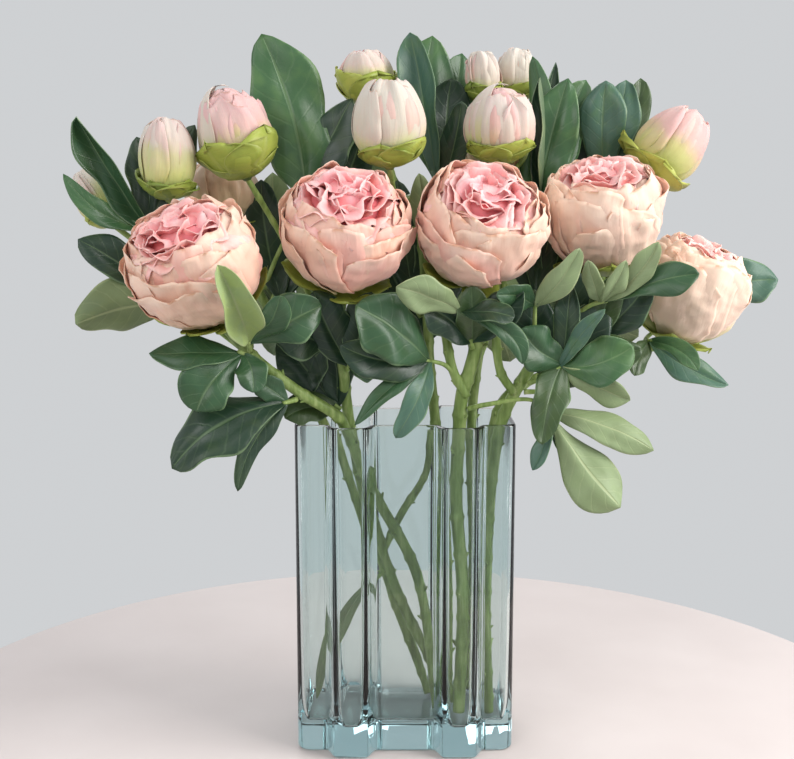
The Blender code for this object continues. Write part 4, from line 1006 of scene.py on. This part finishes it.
def guard_petal(radius, spin, start, end, width, lip, bloom_seed, rng):
    """A broad cupped petal that follows the crumpled globe from its foot up to its torn, uneven lip."""
    seed = rng.uniform(0.0, 90.0)
    phase = rng.uniform(0.0, math.tau)
    waves = rng.uniform(1.0, 2.2)
    lean = rng.uniform(0.8, 1.4) * 0.0012
    slope = rng.uniform(-0.09, 0.09)
    dent = rng.uniform(-0.02, 0.05)

    def surface(u, v):
        tear = (0.030 * noise.noise(Vector((u * 1.8, seed, 0.0)))
                + 0.009 * noise.noise(Vector((u * 10.0, seed, 5.0)))) * v ** 4
        reach = v * (1.0 - 0.11 * abs(u) ** 3.0 * v - dent * math.exp(-(u / 0.18) ** 2) * v ** 5
                     + slope * u * v ** 2 + tear)
        polar = math.radians(start + (end - start) * reach)
        half = width / 2 * (0.22 + 0.78 * smooth_step(v / 0.50)) * (1.0 - 0.08 * smooth_step((v - 0.7) / 0.3))
        azimuth = spin + u * half / (radius * max(math.sin(polar), 0.32))
        direction = around(azimuth, polar)
        pleat = noise.noise(Vector((u * 5.0 + seed, v * 1.5, 3.0)))
        crease = abs(noise.noise(Vector((u * 2.2 + seed, v * 2.4 + u, seed))))
        out = radius * swell(direction, bloom_seed) + lean * u
        out += (0.0011 * pleat + 0.0030 * (crease - 0.2)) * smooth_step(v * 2)
        out += lip * v ** 7 + 0.0026 * v ** 7 * math.sin(waves * math.pi * u + phase)
        return direction * out

    return surface


def heart_petal(radius, spin, distance, width, turn_limit, bloom_seed, rng):
    """An upright petal that leans out, whose ruffled lip lies on the dome of the heart."""
    seed = rng.uniform(0.0, 90.0)
    phase = rng.uniform(0.0, math.tau)
    waves = rng.uniform(0.8, 1.7)
    yaw = math.radians(rng.uniform(-turn_limit, turn_limit))
    out_lip = radius * distance * rng.uniform(0.80, 0.86)
    sink = radius * rng.uniform(0.0, 0.16) * (1.15 - distance)
    depth = radius * 0.55
    ruffle = radius * rng.uniform(0.04, 0.10)
    roll = radius * rng.uniform(-0.03, 0.10)

    def surface(u, v):
        lip = v ** 1.8
        edge = noise.noise(Vector((u * 1.8 + seed, 0.0, seed)))
        frill = noise.noise(Vector((u * 4.5 + seed, 4.0, v * 2.0)))
        half = width / 2 * (0.50 + 0.50 * smooth_step(v * 1.2))
        across = u * half
        forward = ruffle * lip * math.sin(waves * math.pi * u + phase) + radius * 0.05 * lip * frill
        forward += roll * v ** 6 - radius * 0.05 * math.sin(math.pi * v) - u * u * half * 0.35
        turn = yaw * lip
        outward = out_lip * (0.60 + 0.40 * v) + forward * math.cos(turn) + across * math.sin(turn)
        sideways = across * math.cos(turn) - forward * math.sin(turn)
        x = outward * math.cos(spin) - sideways * math.sin(spin)
        y = outward * math.sin(spin) + sideways * math.cos(spin)
        spread = min(math.hypot(x, y) / radius, 0.97)
        dome = radius * math.sqrt(1.0 - spread * spread) * (1.0 - 0.17 * (1.0 - spread) ** 2)
        top = dome - sink * (1.0 - 0.3 * edge) - radius * 0.08 * abs(u) ** 2.5 + radius * 0.05 * edge
        height = top - depth * (1.0 - v) - roll * 0.5 * v ** 8 + radius * 0.015 * v ** 6 * frill
        spot = Vector((x, y, height))
        return spot * swell(spot.normalized(), bloom_seed)

    return surface


def sepal(girth, spin, start, end, width, lift, rng):
    """A blunt, puckered green leaf of the calyx, lying on a flower whose girth follows the angle."""
    seed = rng.uniform(0.0, 90.0)
    bend = rng.uniform(-0.25, 0.25)

    def surface(u, v):
        ragged = 0.10 * noise.noise(Vector((u * 2.6, seed, 0.0))) * v ** 3
        polar = math.radians(start + (end - start) * v * (1.0 + ragged - 0.10 * abs(u) ** 3 * v))
        flat, height = girth(polar)
        half = width / 2 * max((0.75 + 0.7 * v) * math.sqrt(1.0 - v ** 5), 0.02)
        half *= 1.0 + 0.35 * noise.noise(Vector((v * 3.0, seed, 2.0 + (u > 0))))
        pucker = noise.noise(Vector((u * 3.2 + seed, v * 2.6, 1.0)))
        out = 0.0017 + lift * v ** 2.5 + 0.0018 * pucker * smooth_step(v * 2) + 0.0010 * v * abs(u) ** 3
        azimuth = spin + bend * v * v + u * half / max(flat, width * 0.25)
        flat += out * math.sin(polar)
        height += out * math.cos(polar)
        return Vector((flat * math.cos(azimuth), flat * math.sin(azimuth), height))

    return surface


def silk(name, runs, blush_runs, crease, worn_colour, worn_share):
    """Crinkled flower silk: colour that runs from foot to lip, soft pleats with painted shade in their
    creases, and worn, torn edges.
    """
    finish, tree, shader = new_finish(name, 0.62, Specular_IOR_Level=0.3, Sheen_Weight=0.15,
                                      Sheen_Roughness=0.5, Subsurface_Weight=0.10, Subsurface_Scale=0.003)
    shader.inputs["Subsurface Radius"].default_value = (1.0, 0.45, 0.35)
    uv, _, along = read_uv(tree)
    place = object_coordinates(tree)
    mottle = add_noise(tree, place, 34.0, 3.0)
    pleat = add_noise(tree, uv, 3.0, 3.0, (7.0, 0.9, 1.0))
    crinkle = add_noise(tree, place, 170.0, 4.0)
    run = plus(tree, along, add_range(tree, mottle, 0.3, 0.7, -0.07, 0.07))
    colour = add_ramp(tree, run, runs)
    flushed = add_ramp(tree, run, blush_runs)
    clouds = plus(tree, mottle, times(tree, pleat, 0.5))
    patch = add_range(tree, clouds, 0.55, 0.95, -0.18, 0.18)
    blush = add_maths(tree, "ADD", read_amount(tree, "blush"), patch, clamp=True)
    colour = add_mix(tree, blush, colour, flushed)
    # Painted shade: where the pleats sink, the colour turns to the darker crease colour, which stands for the
    # shadow in the folds.
    ridges = plus(tree, pleat, times(tree, mottle, 0.6))
    colour = add_mix(tree, add_range(tree, ridges, 0.74, 0.48, 0.0, 0.30), colour, crease)
    # The pale amount lightens a bloom towards cream: partly its own colour, partly painted light on the
    # blooms nearest the window lamp.
    colour = add_mix(tree, times(tree, read_amount(tree, "pale"), 0.8), colour, CREAM)
    green = times(tree, read_amount(tree, "lime"), add_range(tree, run, 0.72, 0.48))
    colour = add_mix(tree, green, colour, LIME)
    worn = times(tree, add_range(tree, along, 0.965, 1.0),
                 add_range(tree, add_noise(tree, place, 110.0, 2.0), 0.50, 0.62))
    colour = add_mix(tree, times(tree, worn, worn_share), colour, worn_colour)
    tree.links.new(colour, shader.inputs["Base Color"])
    height = plus(tree, times(tree, pleat, 0.8), times(tree, crinkle, 0.6))
    add_bump(tree, shader, height, 0.0011, 0.5)
    return finish


# Each silk's third-last colour is painted shade: the darker colour put in the creases of its pleats.
guard_silk = silk("peach guard silk",
                  [(0.04, (0.42, 0.46, 0.15)), (0.20, (0.66, 0.54, 0.32)), (0.50, (0.74, 0.49, 0.35)),
                   (0.86, (0.78, 0.52, 0.39)), (0.99, (0.82, 0.60, 0.46))],
                  [(0.04, (0.44, 0.38, 0.15)), (0.22, (0.68, 0.42, 0.28)), (0.50, (0.76, 0.36, 0.28)),
                   (0.86, (0.80, 0.42, 0.35)), (0.99, (0.84, 0.56, 0.46))],
                  (0.64, 0.26, 0.17), (0.42, 0.17, 0.07), 0.65)
# The heart's colour deepens and darkens towards each petal's foot: partly its own deeper pink, partly painted
# shade down in the heart.
heart_silk = silk("pink heart silk",
                  [(0.40, (0.74, 0.26, 0.20)), (0.68, (0.82, 0.40, 0.33)), (0.88, (0.86, 0.50, 0.43)),
                   (1.00, (0.88, 0.58, 0.50))],
                  [(0.40, (0.70, 0.16, 0.20)), (0.68, (0.84, 0.30, 0.33)), (0.88, (0.88, 0.42, 0.44)),
                   (1.00, (0.90, 0.54, 0.54))],
                  (0.78, 0.28, 0.29), (0.72, 0.30, 0.24), 0.3)
calyx_green = pressed_fabric(
    "lime calyx",
    [(0.040, 0.085, 0.022), (0.085, 0.140, 0.028), (0.160, 0.220, 0.036),
     (0.270, 0.330, 0.050), (0.380, 0.420, 0.075), (0.480, 0.480, 0.110)],
    (0.40, 0.44, 0.13), (0.34, 0.36, 0.10), 0.5, 0.30)


def flower_piece(name, cage, finish, node):
    """The petals of a cage as one object that stands for a CAD node."""
    piece = finish_sheets(name, cage, PETAL_THICKNESS, [finish])
    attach(piece, "root")
    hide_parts(node)


def add_guard(cage, bloom, rings, bloom_seed, rng):
    """Wrap rings of guard petals round a bloom; about a fifth of them are flushed deeper."""
    centre = to_metres(bloom.centre)
    radius = bloom.radius * CM
    for ring, (count, start, short, varied, width, out, lip) in enumerate(rings):
        turn = rng.uniform(0.0, math.tau)
        for number in range(count):
            spin = turn + math.tau * number / count + rng.uniform(-0.18, 0.18)
            end = bloom.opening + short + rng.uniform(-varied, varied)
            petal = guard_petal(radius * out, spin, start, end, radius * width,
                                radius * lip * rng.uniform(0.0, 2.0), bloom_seed, rng)
            flushed = FLUSH if rng.random() < FLUSHED_SHARE * bloom.blush else 0.0
            add_sheet(cage, placed(petal, centre, bloom.facing), *GUARD_GRID,
                      blush=bloom.blush * (0.10 + 0.16 * ring + rng.uniform(-0.05, 0.30)) + flushed,
                      lime=rng.choice((0.0, 0.0, 0.35)) if ring == 0 else 0.0, pale=bloom.pale)


def add_calyx(index, bloom, rng, share, tone, reach, width):
    """A green cup under a bloom, with blunt sepals, from the end of its stem."""
    centre = to_metres(bloom.centre)
    radius = bloom.radius * CM * share
    foot_place = to_metres(STEMS[index].route[-1])
    cage = bmesh.new()
    turn = rng.uniform(0.0, math.tau)

    def globe(polar):
        return radius * math.sin(polar), radius * math.cos(polar)

    for number in range(CALYX_SEPALS):
        leaf = sepal(globe, turn + math.tau * number / CALYX_SEPALS, 178, reach + rng.uniform(-9, 9),
                     radius * width, radius * rng.uniform(0.02, 0.16), rng)
        add_sheet(cage, placed(leaf, centre, bloom.facing), *CALYX_GRID, tone=tone)
    piece = finish_sheets(f"bloom_calyx_{index + 1}", cage, CALYX_THICKNESS, [calyx_green])
    towards = Vector(bloom.facing).normalized()
    foot = centre - towards * radius
    lowest = foot_place - (foot - foot_place).normalized() * 0.001
    route = [lowest.lerp(foot + towards * 0.001, step / 8) for step in range(9)]
    join_tube(piece, route, lambda at: 0.0040 + 0.0050 * (at / 8) ** 1.7, 16)
    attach(piece, "root")


def add_cushion(cage, bloom, share, edge, bloom_seed, blush):
    """The pad of silk that closes the middle of a flower; its seam and its tip are merged."""

    def pad(u, v):
        direction = around(math.pi * u, math.radians(edge * (1.0 - v)))
        return direction * (bloom.radius * CM * share) * swell(direction, bloom_seed)

    petal_corners = set(cage.verts)
    add_sheet(cage, placed(pad, to_metres(bloom.centre), bloom.facing), *CUSHION_GRID, blush=blush)
    seam = [corner for corner in cage.verts if corner not in petal_corners]
    bmesh.ops.remove_doubles(cage, verts=seam, dist=1e-6)


for index, bloom in enumerate(BLOOMS[:FULL_BLOOMS]):
    rng = random.Random(100 + index)
    centre = to_metres(bloom.centre)
    radius = bloom.radius * CM
    name = f"bloom_{index + 1}"
    bloom_seed = rng.uniform(0.0, 90.0)
    cage = bmesh.new()
    add_guard(cage, bloom, GUARD_RINGS, bloom_seed, rng)
    flower_piece(f"guard_petals_{index + 1}", cage, guard_silk, name + "_guard")
    cage = bmesh.new()
    open_share = math.sin(math.radians(bloom.opening)) / math.sin(math.radians(HEART_OPENING))
    for ring, (count, distance, width, turn_limit) in enumerate(HEART_RINGS):
        turn = rng.uniform(0.0, math.tau)
        for number in range(count):
            petal = heart_petal(radius, turn + math.tau * number / count + rng.uniform(-0.2, 0.2),
                                distance * open_share, radius * width * open_share, turn_limit,
                                bloom_seed, rng)
            add_sheet(cage, placed(petal, centre, bloom.facing), *HEART_GRID,
                      blush=bloom.blush * (0.35 + 0.12 * ring + rng.uniform(-0.15, 0.15)))
    add_cushion(cage, bloom, CUSHION_SHARE, bloom.opening + CUSHION_UNDERLAP, bloom_seed, bloom.blush * 0.8)
    flower_piece(f"heart_petals_{index + 1}", cage, heart_silk, name + "_heart")
    add_calyx(index, bloom, rng, share=1.0, tone=0.62, reach=128, width=0.55)

# ---- Half-open blooms --------------------------------------------------------------------------------
# Two smaller peonies at the back, still cupped: beige and peach silk petals, wrapped in four rings over
# a round pad that closes the middle, with the same green cup below.
HALF_OPEN_RINGS = [
    (3, 176, 34, 10, 1.85, 1.000, 0.020),
    (4, 176, 20, 8, 1.70, 0.960, 0.000),
    (4, 172, 8, 6, 1.40, 0.920, -0.010),
    (4, 170, 0, 4, 1.10, 0.875, -0.020),
]
PAD_SHARE = 0.84
PAD_EDGE = 60
# The third-last colour is painted shade in the creases of the pleats.
beige_silk = silk("beige peony silk",
                  [(0.04, (0.40, 0.44, 0.14)), (0.30, (0.58, 0.44, 0.26)), (0.60, (0.62, 0.44, 0.30)),
                   (0.99, (0.68, 0.52, 0.40))],
                  [(0.04, (0.40, 0.34, 0.12)), (0.30, (0.60, 0.35, 0.24)), (0.60, (0.66, 0.30, 0.22)),
                   (0.99, (0.72, 0.46, 0.38))],
                  (0.50, 0.22, 0.15), (0.34, 0.15, 0.08), 0.9)
for index, bloom in enumerate(BLOOMS[FULL_BLOOMS:], start=FULL_BLOOMS):
    rng = random.Random(100 + index)
    cage = bmesh.new()
    bloom_seed = rng.uniform(0.0, 90.0)
    add_guard(cage, bloom, HALF_OPEN_RINGS, bloom_seed, rng)
    add_cushion(cage, bloom, PAD_SHARE, PAD_EDGE, bloom_seed, bloom.blush)
    flower_piece(f"cupped_petals_{index + 1}", cage, beige_silk, f"bloom_{index + 1}")
    add_calyx(index, bloom, rng, share=1.01, tone=0.50, reach=125, width=0.60)

# ---- Buds --------------------------------------------------------------------------------------------
# Nine buds of wrapped silk petals, lime at the foot and cream or pink at the tip.
# Each sits in a cup of lime sepals glued round its foot, some of them long and curling away.
# For each bud: how many outer petals, how far from its tip they end (degrees), its blush, its share of
# lime, its sepals' reach (degrees from the tip), tone and lift, and whether one petal flaps over the top.
BudLook = namedtuple("BudLook", "petals close blush lime reach tone lift flap")
BUD_LOOKS = [
    BudLook(4, 8, 0.30, 0.80, 112, 0.90, 0.10, False), BudLook(5, 14, 0.45, 1.00, 114, 0.50, 0.25, False),
    BudLook(5, 44, 0.85, 0.90, 110, 0.72, 0.45, True), BudLook(4, 16, 0.55, 1.00, 84, 0.78, 0.20, False),
    BudLook(5, 24, 0.15, 0.00, 115, 0.66, 0.04, False), BudLook(4, 16, 0.25, 0.00, 114, 0.60, 0.05, False),
    BudLook(4, 22, 0.00, 0.00, 120, 0.60, 0.05, False), BudLook(5, 40, 0.60, 0.00, 119, 0.66, 0.10, True),
    BudLook(5, 18, 0.80, 0.80, 112, 0.95, 0.50, False),
]
BUD_TAPER = 0.14
BUD_FOOT = 177
BUD_SEPALS = 4
BUD_GRID = (24, 20)
BUD_SEPAL_GRID = (18, 14)
BUD_SEPAL_THICKNESS = 0.0006
# A bud's layers of petals: how far out each stands, and its share of the closing angle and of the lip.
BUD_LAYERS = ((0.0, 1.0), (-0.0014, 0.8), (-0.0030, 0.55))


def bud_petal(radius, half_length, spin, end, width, out, lip, rng):
    """A crumpled petal wrapped over an egg-shaped bud, up to a ragged tip."""
    seed = rng.uniform(0.0, 90.0)
    phase = rng.uniform(0.0, math.tau)
    lean = rng.uniform(0.8, 1.5) * 0.0010

    def surface(u, v):
        tear = (0.13 * noise.noise(Vector((u * 2.2, seed, 0.0)))
                + 0.04 * noise.noise(Vector((u * 11.0, seed, 3.0)))) * v ** 4
        reach = v * (1.0 - 0.16 * abs(u) ** 2.6 * v + tear)
        polar = math.radians(BUD_FOOT + (end - BUD_FOOT) * reach)
        girth = (radius + out) * math.sin(polar) * (1.0 - BUD_TAPER * math.cos(polar))
        crease = abs(noise.noise(Vector((u * 2.4 + seed, v * 1.6, seed))))
        pleat = noise.noise(Vector((u * 4.0 + seed, v * 1.0, 3.0)))
        girth += (lean * u + 0.0018 * pleat + 0.0042 * (crease - 0.2)) * smooth_step(v * 2) * math.sin(polar)
        girth += lip * v ** 6 + 0.0014 * v ** 5 * math.sin(2.2 * math.pi * u + phase)
        half = width / 2 * (0.30 + 0.70 * smooth_step(v / 0.5))
        azimuth = spin + u * half * (1.0 - 0.15 * v ** 4)
        height = (half_length + out) * math.cos(polar)
        return Vector((girth * math.cos(azimuth), girth * math.sin(azimuth), height))

    return surface


# The third-last colour is painted shade in the creases of the pleats.
bud_silk = silk("cream bud silk",
                [(0.10, (0.36, 0.43, 0.09)), (0.34, (0.56, 0.54, 0.27)), (0.50, (0.57, 0.50, 0.41)),
                 (0.95, (0.63, 0.57, 0.51))],
                [(0.10, (0.38, 0.40, 0.10)), (0.34, (0.60, 0.45, 0.26)), (0.50, (0.63, 0.38, 0.32)),
                 (0.95, (0.68, 0.41, 0.40))],
                (0.54, 0.34, 0.27), (0.36, 0.16, 0.07), 0.6)
for index, (bud, look) in enumerate(zip(BUDS, BUD_LOOKS)):
    rng = random.Random(200 + index)
    centre = to_metres(bud.centre)
    radius = bud.radius * CM
    half_length = bud.half_length * CM
    cage = bmesh.new()
    for layer, (out, share) in enumerate(BUD_LAYERS):
        turn = rng.uniform(0.0, math.tau)
        petals = max(look.petals - layer, 3)
        for number in range(petals):
            end = look.close * share + rng.uniform(0, 10)
            lime = look.lime * rng.uniform(0.5, 1.0)
            blush = look.blush + 0.20 * layer + rng.uniform(-0.45, 0.35)
            if out == BUD_LAYERS[-1][0]:  # the innermost petals close over the tip
                end = rng.uniform(-16, 2)
            if look.flap and layer == 0 and number == 0:
                end, lime, blush = -18, 0.0, 0.0
            petal = bud_petal(radius, half_length, turn + math.tau * number / petals, end,
                              2.7 if petals < 5 else 2.2, out, 0.0016 * share, rng)
            add_sheet(cage, placed(petal, centre, bud.facing), *BUD_GRID,
                      blush=min(max(blush, 0.0), 1.0), lime=lime)
    flower_piece(f"bud_petals_{index + 1}", cage, bud_silk, f"bud_{index + 1}")

    def egg(polar):
        return (radius * math.sin(polar) * (1.0 - BUD_TAPER * math.cos(polar)),
                half_length * math.cos(polar))

    cage = bmesh.new()
    turn = rng.uniform(0.0, math.tau)
    for number in range(BUD_SEPALS):
        leaf = sepal(egg, turn + math.tau * number / BUD_SEPALS, 178, look.reach + rng.uniform(-12, 10),
                     radius * 2.0, radius * rng.uniform(0.3, 1.0) * look.lift, rng)
        add_sheet(cage, placed(leaf, centre, bud.facing), *BUD_SEPAL_GRID,
                  tone=min(look.tone + rng.uniform(-0.18, 0.08), 1.0))
    sepals = finish_sheets(f"bud_sepals_{index + 1}", cage, BUD_SEPAL_THICKNESS, [calyx_green])
    foot = bud_foot(bud)
    facing = Vector(bud.facing).normalized()
    route = [foot - facing * 0.002 + facing * 0.0014 * step for step in range(6)]
    join_tube(sepals, route, lambda at: 0.0023 + 0.0012 * at, 14)
    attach(sepals, "root")
